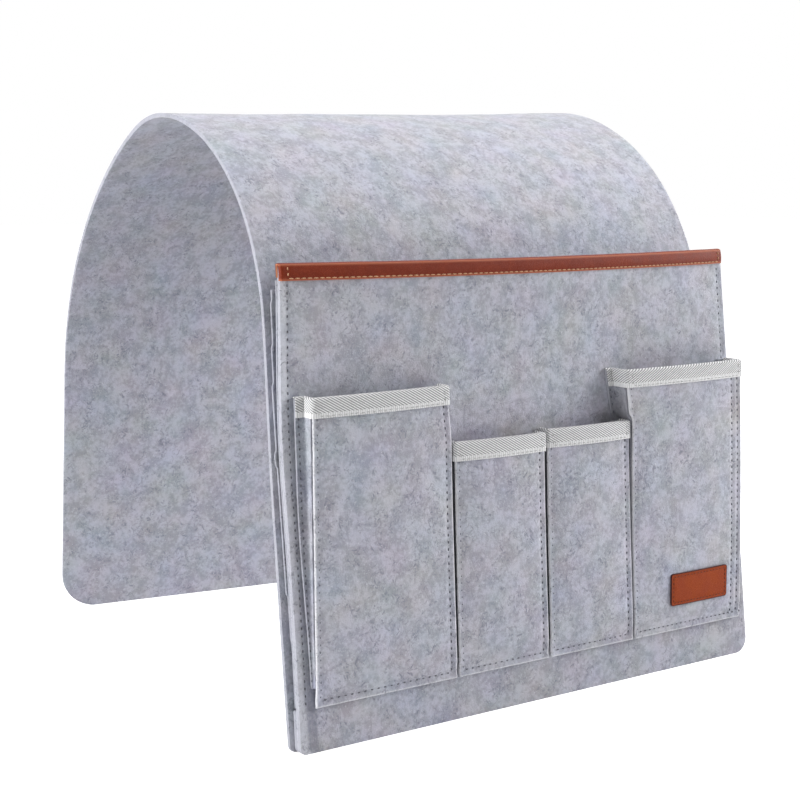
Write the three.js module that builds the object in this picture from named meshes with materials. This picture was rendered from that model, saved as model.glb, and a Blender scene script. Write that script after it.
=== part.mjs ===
// Felt sofa armrest organizer: one long felt strip that drapes over an armrest, with a bellows
// pocket on its front leg, four smaller pockets on that pocket, fabric bindings and a leather label.
// Millimetres, +Z up, +X along the armrest's side, front pockets towards -Y.
import * as THREE from 'three';

// Main strip: a felt rectangle bent over the armrest. Each long edge has a straight front leg that
// leans back by some degrees, then arcs, then a straight rear leg. The two edges bend a little
// differently, so the strip is slightly twisted.
const STRIP_WIDTH = 320;
const FELT = 3;
const LEFT_EDGE = {
  lean: 6.6,
  run: 219.7,
  arcs: [
    { radius: 123.5, turn: 79.6 },
    { radius: 92, turn: 28.3 },
    { radius: 223.8, turn: 28.1 },
    { radius: 179.3, turn: 30.4 },
  ],
};
const RIGHT_EDGE = {
  lean: 10.2,
  run: 216.4,
  arcs: [
    { radius: 152.3, turn: 72.6 },
    { radius: 60, turn: 44.5 },
    { radius: 175, turn: 30 },
    { radius: 177, turn: 23.3 },
  ],
};
const REAR_DRIFT = 4;
const FRONT_CORNER = 14;
const REAR_CORNER = 24;
const CORNER_STEPS = 5;
const STRIP_STEP = 15;
const STRIP_STEPS_ACROSS = 8;

// Play left between pieces that are sewn face to face
const PLAY = 0.3;

// Main pocket: a felt front that opens away from the strip, by an angle in degrees, and is drawn
// in at its mouth
const POCKET_OVERHANG = 0.5;
const POCKET_WIDTH = STRIP_WIDTH + 2 * POCKET_OVERHANG;
const POCKET_HEIGHT = 250;
const POCKET_OPENING = 0.9;
const MOUTH_DRAW_IN = 6;
const MOUTH_BOW = 12;
const MOUTH_SAG = 0.6;
const BOW_POWER = 4;
const POCKET_CORNER_LEFT = 3.5;
const POCKET_CORNER_RIGHT = 14;
const HEM_HEIGHT = 22;
const HEM_SLOPE = 1;
const POCKET_STEPS_ACROSS = 16;
const POCKET_STEPS_UP = 12;

// Folded strips that close the main pocket's sides
const GUSSET_FELT = 1.4;
const GUSSET_FLANGE = 9;
const GUSSET_TOP_DROP = 5;

// Leather binding over the main pocket's mouth
const LEATHER = 1;
const BINDING_HEIGHT = 9;
const BINDING_STEPS = 20;

// Small pockets, left to right, on the main pocket's front
const SMALL_FELT = 2;
const SMALL_GUSSET = 1.5;
const ROW_MARGIN = 11;
const ROW_BOTTOM = 23.5;
const ROW_GAP = 2.2;
const SEAM_HEIGHT = 9;
const SEAM_PLY = 1.5;
const BACK_FLANGE = 4.5;
const CROWN = 2.5;
const CROWN_TURN = 135;
const SMALL_STEPS_ACROSS = 8;
const SMALL_STEPS_UP = 9;
const TAPE = 0.6;
const TAPE_HEIGHT = 9.5;
const WALLET_POCKET = { width: 85.5, height: 159, depth: 10 };
const REMOTE_POCKET = { width: 62, height: 128, depth: 9.5 };
const SMALL_REMOTE_POCKET = { width: 62, height: 129.5, depth: 9.5 };
const PHONE_POCKET = { width: 87.5, height: 159.5, depth: 15.5 };
// How far a left edge moves out by the pocket's top, and the height above its foot where it starts
const WALLET_FLARE = { flare: -3, flareFrom: 0 };
const NO_FLARE = { flare: 0, flareFrom: 0 };
const PHONE_FLARE = { flare: 5.5, flareFrom: 132 };
const POCKETS = [
  { name: 'wallet_pocket', ...WALLET_POCKET, ...WALLET_FLARE, outwardFlange: true },
  { name: 'remote_pocket', ...REMOTE_POCKET, ...NO_FLARE, outwardFlange: false },
  { name: 'small_remote_pocket', ...SMALL_REMOTE_POCKET, ...NO_FLARE, outwardFlange: false },
  { name: 'phone_pocket', ...PHONE_POCKET, ...PHONE_FLARE, outwardFlange: true },
];

// Leather label on the last pocket
const LABEL_WIDTH = 45;
const LABEL_HEIGHT = 19.5;
const LABEL_THICKNESS = 1;
const LABEL_FROM_RIGHT = 13.5;
const LABEL_FROM_BOTTOM = 17;
const LABEL_CORNER = 1.5;
const LABEL_STEPS = 6;

const felt = new THREE.Color(0xb4b6c0);
const innerFelt = new THREE.Color(0xa4a6b0);
const tapeColour = new THREE.Color(0xd2d4d4);
const bindingColour = new THREE.Color(0x7e2f1c);
const labelColour = new THREE.Color(0x9c4522);

function material(colour, roughness) {
  return new THREE.MeshStandardMaterial({ color: colour, roughness, metalness: 0 });
}

const radians = THREE.MathUtils.degToRad;

// A closed solid through rings of equal point counts. Each ring is the outline of a band: its first
// half runs along one face and its second half comes back along the other, so the two end rings
// close as a row of quads. The winding is turned if the volume comes out negative.
function loft(rings) {
  const count = rings[0].length;
  const positions = rings.flat().flatMap((point) => [point.x, point.y, point.z]);
  const faces = [];
  const quad = (a, b, c, d) => faces.push([a, b, c], [a, c, d]);
  for (let r = 0; r + 1 < rings.length; r += 1) {
    for (let i = 0; i < count; i += 1) {
      const a = r * count + i;
      const b = r * count + ((i + 1) % count);
      quad(a, b, b + count, a + count);
    }
  }
  const last = (rings.length - 1) * count;
  for (let i = 0; i + 1 < count / 2; i += 1) {
    const back = count - 1 - i;
    quad(i, back, back - 1, i + 1);
    quad(last + i, last + i + 1, last + back - 1, last + back);
  }
  const volume = faces.reduce((sum, face) => {
    const [a, b, c] = face.map((k) => new THREE.Vector3().fromArray(positions, 3 * k));
    return sum + a.dot(b.cross(c));
  }, 0);
  const index = faces.flatMap(([a, b, c]) => (volume > 0 ? [a, b, c] : [a, c, b]));
  const geometry = new THREE.BufferGeometry();
  geometry.setAttribute('position', new THREE.Float32BufferAttribute(positions, 3));
  geometry.setIndex(index);
  geometry.computeVertexNormals();
  return geometry;
}

const model = new THREE.Group();

function addPiece(name, geometry, colour, roughness) {
  const mesh = new THREE.Mesh(geometry, material(colour, roughness));
  mesh.name = name;
  model.add(mesh);
}

// How far a rounded corner draws an edge in at a height above the corner's foot
function cornerInset(height, radius) {
  if (height >= radius) return 0;
  return radius - Math.sqrt(radius * radius - (radius - height) ** 2);
}

// Heights that step round a corner of the given radius
function cornerHeights(radius) {
  const heights = [];
  for (let i = 0; i <= CORNER_STEPS; i += 1) {
    heights.push(radius * (1 - Math.cos((i / CORNER_STEPS) * (Math.PI / 2))));
  }
  return heights;
}

// Front face of the main pocket, as a distance back from its foot
const leanSlope = Math.tan(radians(LEFT_EDGE.lean - POCKET_OPENING));

function pocketHalfWidth(z) {
  return POCKET_WIDTH / 2 - (MOUTH_DRAW_IN * z) / POCKET_HEIGHT;
}

function bowShare(x, z) {
  const across = x / pocketHalfWidth(z);
  return (z / POCKET_HEIGHT) ** BOW_POWER * (1 - across * across);
}

// A point at x and height z, set back from the main pocket's front face (negative is in front)
function onPocket(x, z, back) {
  const sag = MOUTH_SAG * bowShare(x, z);
  return new THREE.Vector3(x, leanSlope * z - MOUTH_BOW * bowShare(x, z) + back, z - sag);
}

// The middle of the strip's thickness at its front foot
const stackAtFoot = 2 * FELT + PLAY;
const footY = stackAtFoot + FELT / 2 / Math.cos(radians(LEFT_EDGE.lean));

// Where each stretch of an edge starts: distance from the foot, place, angle and curvature
function edgeStretches(edge) {
  let at = 0;
  let angle = radians(edge.lean);
  const place = new THREE.Vector2(footY, 0);
  const stretches = [{ at, place: place.clone(), angle, curve: 0 }];
  at += edge.run;
  place.add(new THREE.Vector2(Math.sin(angle), Math.cos(angle)).multiplyScalar(edge.run));
  edge.arcs.forEach(({ radius, turn }) => {
    stretches.push({ at, place: place.clone(), angle, curve: 1 / radius });
    const turned = angle + radians(turn);
    place.x += radius * (Math.cos(angle) - Math.cos(turned));
    place.y += radius * (Math.sin(turned) - Math.sin(angle));
    at += radius * radians(turn);
    angle = turned;
  });
  stretches.push({ at, place: place.clone(), angle, curve: 0 });
  return { stretches, length: at - place.y / Math.cos(angle) };
}

const leftEdge = edgeStretches(LEFT_EDGE);
const rightEdge = edgeStretches(RIGHT_EDGE);
const stripLength = (leftEdge.length + rightEdge.length) / 2;

// Both faces of the strip on one edge, at a share of its length. The legs are measured level, so
// that their feet are cut flat.
function edgeFaces({ stretches, length }, share) {
  const distance = share * length;
  const start = stretches.findLast((stretch) => stretch.at <= distance);
  const along = distance - start.at;
  const angle = start.angle + along * start.curve;
  const place = start.place.clone();
  const out = new THREE.Vector2(-Math.cos(angle), Math.sin(angle));
  if (start.curve) {
    place.x += (Math.cos(start.angle) - Math.cos(angle)) / start.curve;
    place.y += (Math.sin(angle) - Math.sin(start.angle)) / start.curve;
  } else {
    place.x += along * Math.sin(angle);
    place.y += along * Math.cos(angle);
    out.set(-1 / Math.cos(angle), 0);
  }
  out.multiplyScalar(FELT / 2);
  return { outer: place.clone().add(out), inner: place.clone().sub(out) };
}

function mainPanel() {
  const front = cornerHeights(FRONT_CORNER);
  const rear = cornerHeights(REAR_CORNER).map((rise) => stripLength - rise);
  const steps = Math.ceil((rear.at(-1) - front.at(-1)) / STRIP_STEP);
  const places = [...front, ...spread(front.at(-1), rear.at(-1), steps).slice(1, -1)];
  places.push(...rear.reverse());
  const rings = places.map((place) => {
    const share = place / stripLength;
    const left = edgeFaces(leftEdge, share);
    const right = edgeFaces(rightEdge, share);
    const inset = cornerInset(place, FRONT_CORNER) + cornerInset(stripLength - place, REAR_CORNER);
    const half = STRIP_WIDTH / 2 - inset;
    const beyond = Math.max(0, place - LEFT_EDGE.run) / (stripLength - LEFT_EDGE.run);
    const point = (face) => (x) => {
      const { x: y, y: z } = left[face].clone().lerp(right[face], x / STRIP_WIDTH + 0.5);
      return new THREE.Vector3(x + REAR_DRIFT * beyond, y, z);
    };
    return sheetRing(spread(-half, half, STRIP_STEPS_ACROSS), point('outer'), point('inner'));
  });
  return loft(rings);
}

// Evenly spaced values from start to end
function spread(start, end, steps) {
  return Array.from({ length: steps + 1 }, (_, i) => start + ((end - start) * i) / steps);
}

// A ring round a sheet at one height: across its front face and back across its rear face
function sheetRing(xs, frontPoint, rearPoint) {
  return [...xs.map(frontPoint), ...[...xs].reverse().map(rearPoint)];
}

function mainPocketFront() {
  const heights = [...cornerHeights(POCKET_CORNER_RIGHT), HEM_HEIGHT, HEM_HEIGHT + HEM_SLOPE];
  heights.push(...spread(HEM_HEIGHT + HEM_SLOPE, POCKET_HEIGHT, POCKET_STEPS_UP).slice(1));
  const rings = heights.map((z) => {
    const left = -pocketHalfWidth(z) + cornerInset(z, POCKET_CORNER_LEFT);
    const right = pocketHalfWidth(z) - cornerInset(z, POCKET_CORNER_RIGHT);
    const thick = z <= HEM_HEIGHT ? 2 * FELT : FELT;
    const xs = spread(left, right, POCKET_STEPS_ACROSS);
    return sheetRing(xs, (x) => onPocket(x, z, 0), (x) => onPocket(x, z, thick));
  });
  return loft(rings);
}

// Front face of the strip's front leg at x and a height
function legFace(x, z) {
  const blend = (of) => {
    const ends = [LEFT_EDGE, RIGHT_EDGE].map((edge) => of(radians(edge.lean)));
    return THREE.MathUtils.lerp(...ends, x / STRIP_WIDTH + 0.5);
  };
  const slope = blend(Math.sin) / blend(Math.cos);
  return footY + z * slope - (FELT / 2) * blend((lean) => 1 / Math.cos(lean));
}

// A folded strip between the pocket front and the leg: a channel that opens to the side
function mainPocketGusset(side) {
  const bottom = HEM_HEIGHT + HEM_SLOPE + PLAY;
  const frontTop = POCKET_HEIGHT - BINDING_HEIGHT - PLAY;
  const rings = spread(bottom, frontTop, POCKET_STEPS_UP).map((z) => {
    const drop = (GUSSET_TOP_DROP * (z - bottom)) / (frontTop - bottom);
    const frontEdge = side * pocketHalfWidth(z);
    const fold = frontEdge - side * GUSSET_FLANGE;
    const foldInside = fold + side * GUSSET_FELT;
    const backEdge = side * Math.min(STRIP_WIDTH / 2, pocketHalfWidth(z) + MOUTH_DRAW_IN);
    const frontPly = (x, ply) => onPocket(x, z, FELT + PLAY + ply * GUSSET_FELT);
    const backPly = (x, ply) => {
      const height = z - drop;
      return new THREE.Vector3(x, legFace(x, height) - PLAY - ply * GUSSET_FELT, height);
    };
    return [
      frontPly(frontEdge, 0),
      frontPly(fold, 0),
      backPly(fold, 0),
      backPly(backEdge, 0),
      backPly(backEdge, 1),
      backPly(foldInside, 1),
      frontPly(foldInside, 1),
      frontPly(frontEdge, 1),
    ];
  });
  return loft(rings);
}

// Leather folded over the mouth of the main pocket, end to end
function mouthBinding() {
  const top = POCKET_HEIGHT;
  const foot = POCKET_HEIGHT - BINDING_HEIGHT;
  const raised = (x, back, lift) => onPocket(x, top, back).add(new THREE.Vector3(0, 0, lift));
  const halfWidth = pocketHalfWidth(top);
  const rings = spread(-halfWidth, halfWidth, BINDING_STEPS).map((x) => [
    onPocket(x, foot, -PLAY - LEATHER),
    raised(x, -PLAY - LEATHER, PLAY + LEATHER),
    raised(x, FELT + PLAY + LEATHER, PLAY + LEATHER),
    onPocket(x, foot, FELT + PLAY + LEATHER),
    onPocket(x, foot, FELT + PLAY),
    raised(x, FELT + PLAY, PLAY),
    raised(x, -PLAY, PLAY),
    onPocket(x, foot, -PLAY),
  ]);
  return loft(rings);
}

// A small pocket's left edge at a height
function pocketLeft(pocket, z) {
  const above = Math.max(0, z - ROW_BOTTOM - pocket.flareFrom);
  return pocket.left - (pocket.flare * above) / (pocket.height - pocket.flareFrom);
}

function pocketRight(pocket) {
  return pocket.left + pocket.width;
}

// Depth of a small pocket's cavity at a height, measured out from the main pocket's front face
function cavity(pocket, x, z) {
  const share = (z - ROW_BOTTOM) / pocket.height;
  const flatDepth = PLAY + SEAM_PLY + (pocket.depth - SMALL_FELT - PLAY - SEAM_PLY) * share;
  const leftAt = pocketLeft(pocket, z);
  const across = (2 * (x - leftAt)) / (pocketRight(pocket) - leftAt) - 1;
  const swell = Math.sin(radians(CROWN_TURN) * Math.min(share, 1));
  return flatDepth + CROWN * swell * (1 - across * across);
}

// Heights up a small pocket, with the one where its left edge starts to flare
function pocketHeights(pocket, bottom, top) {
  const heights = spread(bottom, top, SMALL_STEPS_UP);
  const kink = ROW_BOTTOM + pocket.flareFrom;
  if (kink > bottom && kink < top) heights.push(kink);
  return heights.sort((one, other) => one - other);
}

function smallPocketFront(pocket) {
  const top = ROW_BOTTOM + pocket.height;
  const seamTop = ROW_BOTTOM + SEAM_HEIGHT;
  const ring = (z, seam) => {
    const xs = spread(pocketLeft(pocket, z), pocketRight(pocket), SMALL_STEPS_ACROSS);
    const inner = (x) => onPocket(x, z, seam ? -PLAY : -cavity(pocket, x, z));
    return sheetRing(xs, (x) => onPocket(x, z, -cavity(pocket, x, z) - SMALL_FELT), inner);
  };
  const upper = pocketHeights(pocket, seamTop + HEM_SLOPE, top).map((z) => ring(z, false));
  return loft([ring(ROW_BOTTOM, true), ring(seamTop, true), ...upper]);
}

// A side strip of a small pocket: a web from the main pocket's front to the small pocket's front,
// with a flange sewn to the main pocket's front
function smallPocketGusset(pocket, side) {
  const bottom = ROW_BOTTOM + SEAM_HEIGHT + HEM_SLOPE + PLAY;
  const top = ROW_BOTTOM + pocket.height;
  const outward = side < 0 && pocket.outwardFlange;
  const clearOf = outward ? pocket.neighbourTop + TAPE + 2 * PLAY : 0;
  const ring = (z, flange) => {
    const edge = side < 0 ? pocketLeft(pocket, z) : pocketRight(pocket);
    const inside = edge - side * SMALL_GUSSET;
    const flangeFrom = outward ? edge : inside;
    const flangeTo = flangeFrom + (outward ? side : -side) * flange;
    const far = cavity(pocket, inside, z) - PLAY;
    const flangePly = PLAY + Math.min(SMALL_GUSSET, (far - PLAY) / 2);
    const other = outward ? inside : edge;
    return [
      onPocket(flangeTo, z, -PLAY),
      onPocket(other, z, -PLAY),
      onPocket(other, z, -far),
      onPocket(flangeFrom, z, -far),
      onPocket(flangeFrom, z, -flangePly),
      onPocket(flangeTo, z, -flangePly),
    ];
  };
  // The flange is narrow where the neighbouring pocket stands beside it
  const narrow = Math.min(BACK_FLANGE, ROW_GAP - PLAY);
  const heights = pocketHeights(pocket, bottom, top);
  if (clearOf > bottom && clearOf + HEM_SLOPE < top) heights.push(clearOf, clearOf + HEM_SLOPE);
  heights.sort((one, other) => one - other);
  return loft(heights.map((z) => ring(z, z > clearOf ? BACK_FLANGE : narrow)));
}

// Woven tape folded over the top edge of a small pocket's two side strips and its front
function smallPocketBinding(pocket) {
  const top = ROW_BOTTOM + pocket.height;
  const foot = top - TAPE_HEIGHT;
  const backEnd = PLAY + SMALL_GUSSET + PLAY;
  const between = spread(0, 1, SMALL_STEPS_ACROSS).slice(1, -1);
  // Each stop gives its share of the pocket's width, how far the wall's inner face is set in from
  // there, and which way each face looks in plan
  const stops = [
    { share: 0, inset: SMALL_GUSSET, fixed: backEnd, outDir: [-1, 0], inDir: [1, 0] },
    { share: 0, inset: SMALL_GUSSET, outDir: [-1, 1], inDir: [1, -1] },
    ...between.map((share) => ({ share, inset: 0, outDir: [0, 1], inDir: [0, -1] })),
    { share: 1, inset: -SMALL_GUSSET, outDir: [1, 1], inDir: [-1, -1] },
    { share: 1, inset: -SMALL_GUSSET, fixed: backEnd, outDir: [1, 0], inDir: [-1, 0] },
  ];
  const rings = stops.map((stop) => {
    const xAt = (z) => THREE.MathUtils.lerp(pocketLeft(pocket, z), pocketRight(pocket), stop.share);
    const outerAt = (z, gap) => {
      const reach = stop.fixed ?? cavity(pocket, xAt(z), z) + SMALL_FELT;
      return [xAt(z) + stop.outDir[0] * gap, reach + stop.outDir[1] * gap];
    };
    const innerAt = (z, gap) => {
      const inside = xAt(z) + stop.inset;
      const reach = stop.fixed ?? cavity(pocket, inside, z);
      return [inside + stop.inDir[0] * gap, reach + stop.inDir[1] * gap];
    };
    const point = ([x, reach], z, lift) => onPocket(x, z, -reach).add(new THREE.Vector3(0, 0, lift));
    return [
      point(outerAt(foot, PLAY + TAPE), foot, 0),
      point(outerAt(top, PLAY + TAPE), top, PLAY + TAPE),
      point(innerAt(top, PLAY + TAPE), top, PLAY + TAPE),
      point(innerAt(foot, PLAY + TAPE), foot, 0),
      point(innerAt(foot, PLAY), foot, 0),
      point(innerAt(top, PLAY), top, PLAY),
      point(outerAt(top, PLAY), top, PLAY),
      point(outerAt(foot, PLAY), foot, 0),
    ];
  });
  return loft(rings);
}

// Leather label with rounded corners, on the last pocket's front
function leatherLabel(pocket) {
  const right = pocketRight(pocket) - LABEL_FROM_RIGHT;
  const bottom = ROW_BOTTOM + LABEL_FROM_BOTTOM;
  const corner = cornerHeights(LABEL_CORNER);
  const heights = [
    ...corner,
    ...corner.map((rise) => LABEL_HEIGHT - rise).reverse(),
  ];
  const rings = heights.map((rise) => {
    const z = bottom + rise;
    const inset = cornerInset(Math.min(rise, LABEL_HEIGHT - rise), LABEL_CORNER);
    const xs = spread(right - LABEL_WIDTH + inset, right - inset, LABEL_STEPS);
    const out = (x, lift) => onPocket(x, z, -cavity(pocket, x, z) - SMALL_FELT - PLAY - lift);
    return sheetRing(xs, (x) => out(x, LABEL_THICKNESS), (x) => out(x, 0));
  });
  return loft(rings);
}

addPiece('main_panel', mainPanel(), felt, 0.95);
addPiece('main_pocket_front', mainPocketFront(), felt, 0.95);
addPiece('main_pocket_gusset_left', mainPocketGusset(-1), innerFelt, 0.95);
addPiece('main_pocket_gusset_right', mainPocketGusset(1), innerFelt, 0.95);
addPiece('mouth_binding', mouthBinding(), bindingColour, 0.45);

let left = ROW_MARGIN - POCKET_WIDTH / 2;
let neighbourTop = 0;
const pockets = POCKETS.map((size) => {
  const pocket = { ...size, left, neighbourTop };
  left += size.width + ROW_GAP;
  neighbourTop = ROW_BOTTOM + size.height;
  return pocket;
});
pockets.forEach((pocket) => {
  addPiece(`${pocket.name}_front`, smallPocketFront(pocket), felt, 0.95);
  addPiece(`${pocket.name}_gusset_left`, smallPocketGusset(pocket, -1), innerFelt, 0.95);
  addPiece(`${pocket.name}_gusset_right`, smallPocketGusset(pocket, 1), innerFelt, 0.95);
  addPiece(`${pocket.name}_binding`, smallPocketBinding(pocket), tapeColour, 0.8);
});
addPiece('leather_label', leatherLabel(pockets.at(-1)), labelColour, 0.5);

// The origin is the middle of the organizer's footprint, on the surface that it stands on
const bounds = new THREE.Box3().setFromObject(model);
const middle = bounds.getCenter(new THREE.Vector3());
model.position.set(-middle.x, -middle.y, -bounds.min.z);

const organizer = new THREE.Group();
organizer.add(model);

export default organizer;
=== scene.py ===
"""Felt sofa armrest organizer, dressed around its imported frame.

Shapes are worked out in millimetres from the foot of the main pocket's front, and are put into
the frame in metres when a piece is finished.
"""

import logging
import math
from bisect import bisect_left
from collections.abc import Callable, Iterable, Sequence
from dataclasses import dataclass, field
from enum import Enum
from functools import cached_property

import bmesh
import bpy
from mathutils import Matrix, Vector, noise


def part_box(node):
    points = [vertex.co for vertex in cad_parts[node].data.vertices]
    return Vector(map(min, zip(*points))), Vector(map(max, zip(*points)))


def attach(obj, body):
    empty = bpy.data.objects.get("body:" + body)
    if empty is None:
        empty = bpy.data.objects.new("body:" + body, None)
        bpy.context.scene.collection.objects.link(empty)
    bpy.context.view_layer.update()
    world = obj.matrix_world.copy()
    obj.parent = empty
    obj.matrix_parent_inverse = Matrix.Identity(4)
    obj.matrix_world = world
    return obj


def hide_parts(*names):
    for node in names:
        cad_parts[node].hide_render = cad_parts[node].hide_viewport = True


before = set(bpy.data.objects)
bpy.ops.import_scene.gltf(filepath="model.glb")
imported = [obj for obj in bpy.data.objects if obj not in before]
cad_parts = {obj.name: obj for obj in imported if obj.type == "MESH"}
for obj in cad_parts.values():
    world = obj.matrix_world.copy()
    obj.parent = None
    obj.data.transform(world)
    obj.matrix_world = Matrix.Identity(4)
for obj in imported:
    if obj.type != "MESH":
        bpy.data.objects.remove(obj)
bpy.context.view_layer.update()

MM = 0.001
BODY = "root"
log = logging.getLogger("organizer")

Plan = tuple[float, float]
Colour = tuple[float, float, float]
WHITE: Colour = (1.0, 1.0, 1.0)


class Side(Enum):
    """The side of a pocket, with its sign along X."""

    LEFT = -1
    RIGHT = 1


class Face(Enum):
    """The face of a sheet that a row of stitches shows on."""

    FRONT = 0
    BACK = 1


class Twill(Enum):
    """The way that a tape's twill ribs run."""

    RISING = 1
    FALLING = -1


def even(start: float, end: float, count: int) -> list[float]:
    """Places from start to end that part the way into count equal steps."""
    return [start + (end - start) * i / count for i in range(count + 1)]


def spread(start: float, end: float, step: float) -> list[float]:
    """Even places from start to end, both among them, no further apart than step."""
    return even(start, end, max(1, math.ceil(abs(end - start) / step)))


def corner_inset(height: float, radius: float) -> float:
    """How far a round corner draws an edge in.

    Args:
        height: Height above the corner's foot.
        radius: The corner's radius.

    Returns:
        Distance that the edge is drawn in.
    """
    if height >= radius:
        return 0.0
    return radius - math.sqrt(max(0.0, radius * radius - (radius - height) ** 2))


def corner_rows(radius: float, steps: int) -> list[float]:
    """Heights that step evenly round a corner, from 0 to its radius."""
    return [radius * (1 - math.cos(math.pi / 2 * i / steps)) for i in range(steps + 1)]


def clamp(value: float) -> float:
    """The value, kept between 0 and 1."""
    return min(1.0, max(0.0, value))


def smooth_step(value: float, start: float, end: float) -> float:
    """A value from 0 at start to 1 at end, with no kink at either."""
    share = clamp((value - start) / (end - start))
    return share * share * (3 - 2 * share)


@dataclass(frozen=True)
class Wave:
    """One layer of a cloth's unevenness.

    Attributes:
        height: How far it lifts the cloth at most.
        size: Distance over which it changes.
        seed: Sets it apart from the other layers.
    """

    height: float
    size: float
    seed: float

    def at(self, x: float, z: float) -> float:
        """Its lift at a column and a row."""
        return self.height * noise.noise(Vector((x / self.size, z / self.size, self.seed)))

    @staticmethod
    def total(waves: Sequence["Wave"], x: float, z: float) -> float:
        """The lift of several layers together."""
        return sum(wave.at(x, z) for wave in waves)


@dataclass(frozen=True)
class Hump:
    """A rounded rise that fades out to both sides.

    Attributes:
        height: Its height.
        middle: Where it is highest.
        reach: How far it spreads to each side.
    """

    height: float
    middle: float
    reach: float

    def at(self, place: float) -> float:
        """Its height at a place."""
        return self.height * math.exp(-(((place - self.middle) / self.reach) ** 2))


@dataclass(frozen=True)
class PocketFace:
    """The main pocket's front, which the small pockets, the bindings and the label follow.

    Attributes:
        width: Width at the foot.
        height: Height of the mouth at the two sides.
        lean: Degrees that the face leans back.
        draw_in: How far each side is drawn in at the mouth.
        bow: How far the middle of the mouth stands forward.
        sag: How far the middle of the mouth hangs lower.
        power: How sharply the bow grows towards the mouth.
    """

    width: float = 321.0
    height: float = 250.0
    lean: float = 5.7
    draw_in: float = 6.0
    bow: float = 12.0
    sag: float = 0.6
    power: int = 4

    def half_width(self, z: float) -> float:
        """Half of the face's width at a height."""
        return self.width / 2 - self.draw_in * z / self.height

    def point(self, x: float, z: float, depth: float = 0.0) -> Vector:
        """A point of the face, or behind it.

        Args:
            x: Place along the armrest.
            z: Height.
            depth: Distance behind the face, negative in front.

        Returns:
            The point in millimetres.
        """
        across = x / self.half_width(z)
        share = (max(z, 0.0) / self.height) ** self.power * (1 - across * across)
        slope = math.tan(math.radians(self.lean))
        return Vector((x, slope * z - self.bow * share + depth, z - self.sag * share))


@dataclass(frozen=True)
class StripEdge:
    """The line that a long edge of the strip follows over the armrest, from foot to foot.

    Attributes:
        lean: Degrees that the front leg leans back.
        run: Length of the straight front leg.
        arcs: Radius and turn of each round stretch, in order.
        foot: Y of the front leg's middle on the floor.
    """

    lean: float
    run: float
    arcs: tuple[Plan, ...]
    foot: float = 7.81

    @cached_property
    def stretches(self) -> list[tuple[float, float, float, float, float]]:
        """All stretches of the edge, the two straight legs among them.

        Returns:
            Start, Y, Z, angle and curvature of each.
        """
        at, y, z, angle = 0.0, self.foot, 0.0, math.radians(self.lean)
        found = []
        bends = [(self.run, 0.0)]
        bends += [(radius * math.radians(turn), 1 / radius) for radius, turn in self.arcs]
        for length, curve in bends:
            found.append((at, y, z, angle, curve))
            y, z, angle = self.follow(y, z, angle, curve, length)
            at += length
        found.append((at, y, z, angle, 0.0))
        return found

    @staticmethod
    def follow(
        y: float, z: float, angle: float, curve: float, length: float
    ) -> tuple[float, float, float]:
        """Go along a stretch of even curvature.

        Args:
            y: Y of the start.
            z: Z of the start.
            angle: Angle of the start from upright.
            curve: Curvature, 0 where it is straight.
            length: Distance to go.

        Returns:
            Y, Z and angle of the end.
        """
        turned = angle + length * curve
        if curve:
            y += (math.cos(angle) - math.cos(turned)) / curve
            z += (math.sin(turned) - math.sin(angle)) / curve
        else:
            y += length * math.sin(angle)
            z += length * math.cos(angle)
        return y, z, turned

    @cached_property
    def length(self) -> float:
        """Length of the whole edge."""
        at, _, z, angle, _ = self.stretches[-1]
        return at - z / math.cos(angle)

    def at(self, share: float) -> tuple[Vector, Vector]:
        """The middle of the strip's thickness at a share of the edge's length.

        Args:
            share: Share of the length, from the front foot.

        Returns:
            The point, and the direction that the outer face looks in.
        """
        place = share * self.length
        start, y, z, angle, curve = next(s for s in reversed(self.stretches) if place >= s[0])
        y, z, turned = self.follow(y, z, angle, curve, place - start)
        return Vector((0, y, z)), Vector((0, -math.cos(turned), math.sin(turned)))


@dataclass(frozen=True)
class Thread:
    """Sewing thread and the stitches that it makes.

    Attributes:
        pitch: Distance from one stitch to the next.
        length: Length of thread that shows in one stitch.
        width: Thickness of the thread.
        sink: Depth of the groove that the seam pulls into the cloth.
        reach: How far to each side the groove spreads.
    """

    pitch: float = 3.8
    length: float = 1.7
    width: float = 0.8
    sink: float = 0.85
    reach: float = 1.4


@dataclass(frozen=True)
class Seam:
    """A straight row of stitches on a sheet.

    Attributes:
        start: Column and row where it starts.
        end: Column and row where it ends.
        thread: The thread that it is sewn with.
        face: The face that it shows on.
    """

    start: Plan
    end: Plan
    thread: Thread = Thread()
    face: Face = Face.FRONT

    @cached_property
    def length(self) -> float:
        """Length of the row."""
        return math.dist(self.start, self.end)

    def place(self, along: float) -> Plan:
        """A place on the row.

        Args:
            along: Distance from the row's start.

        Returns:
            Its column and row on the sheet.
        """
        share = along / self.length
        (x0, z0), (x1, z1) = self.start, self.end
        return x0 + (x1 - x0) * share, z0 + (z1 - z0) * share

    def groove(self, x: float, z: float) -> float:
        """How deep the seam pulls the cloth in, which is most at the needle's holes.

        Args:
            x: Column.
            z: Row.

        Returns:
            Depth of the groove.
        """
        (x0, z0), (x1, z1) = self.start, self.end
        ux, uz = (x1 - x0) / self.length, (z1 - z0) / self.length
        along = (x - x0) * ux + (z - z0) * uz
        aside = abs((z - z0) * ux - (x - x0) * uz)
        reach = self.thread.reach
        beyond = max(0.0, -along, along - self.length)
        if max(aside, beyond) > 3 * reach:
            return 0.0
        hole = 0.8 + 0.2 * math.cos(2 * math.pi * along / self.thread.pitch)
        return self.thread.sink * hole * math.exp(-(aside * aside + beyond * beyond) / reach**2)


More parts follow.
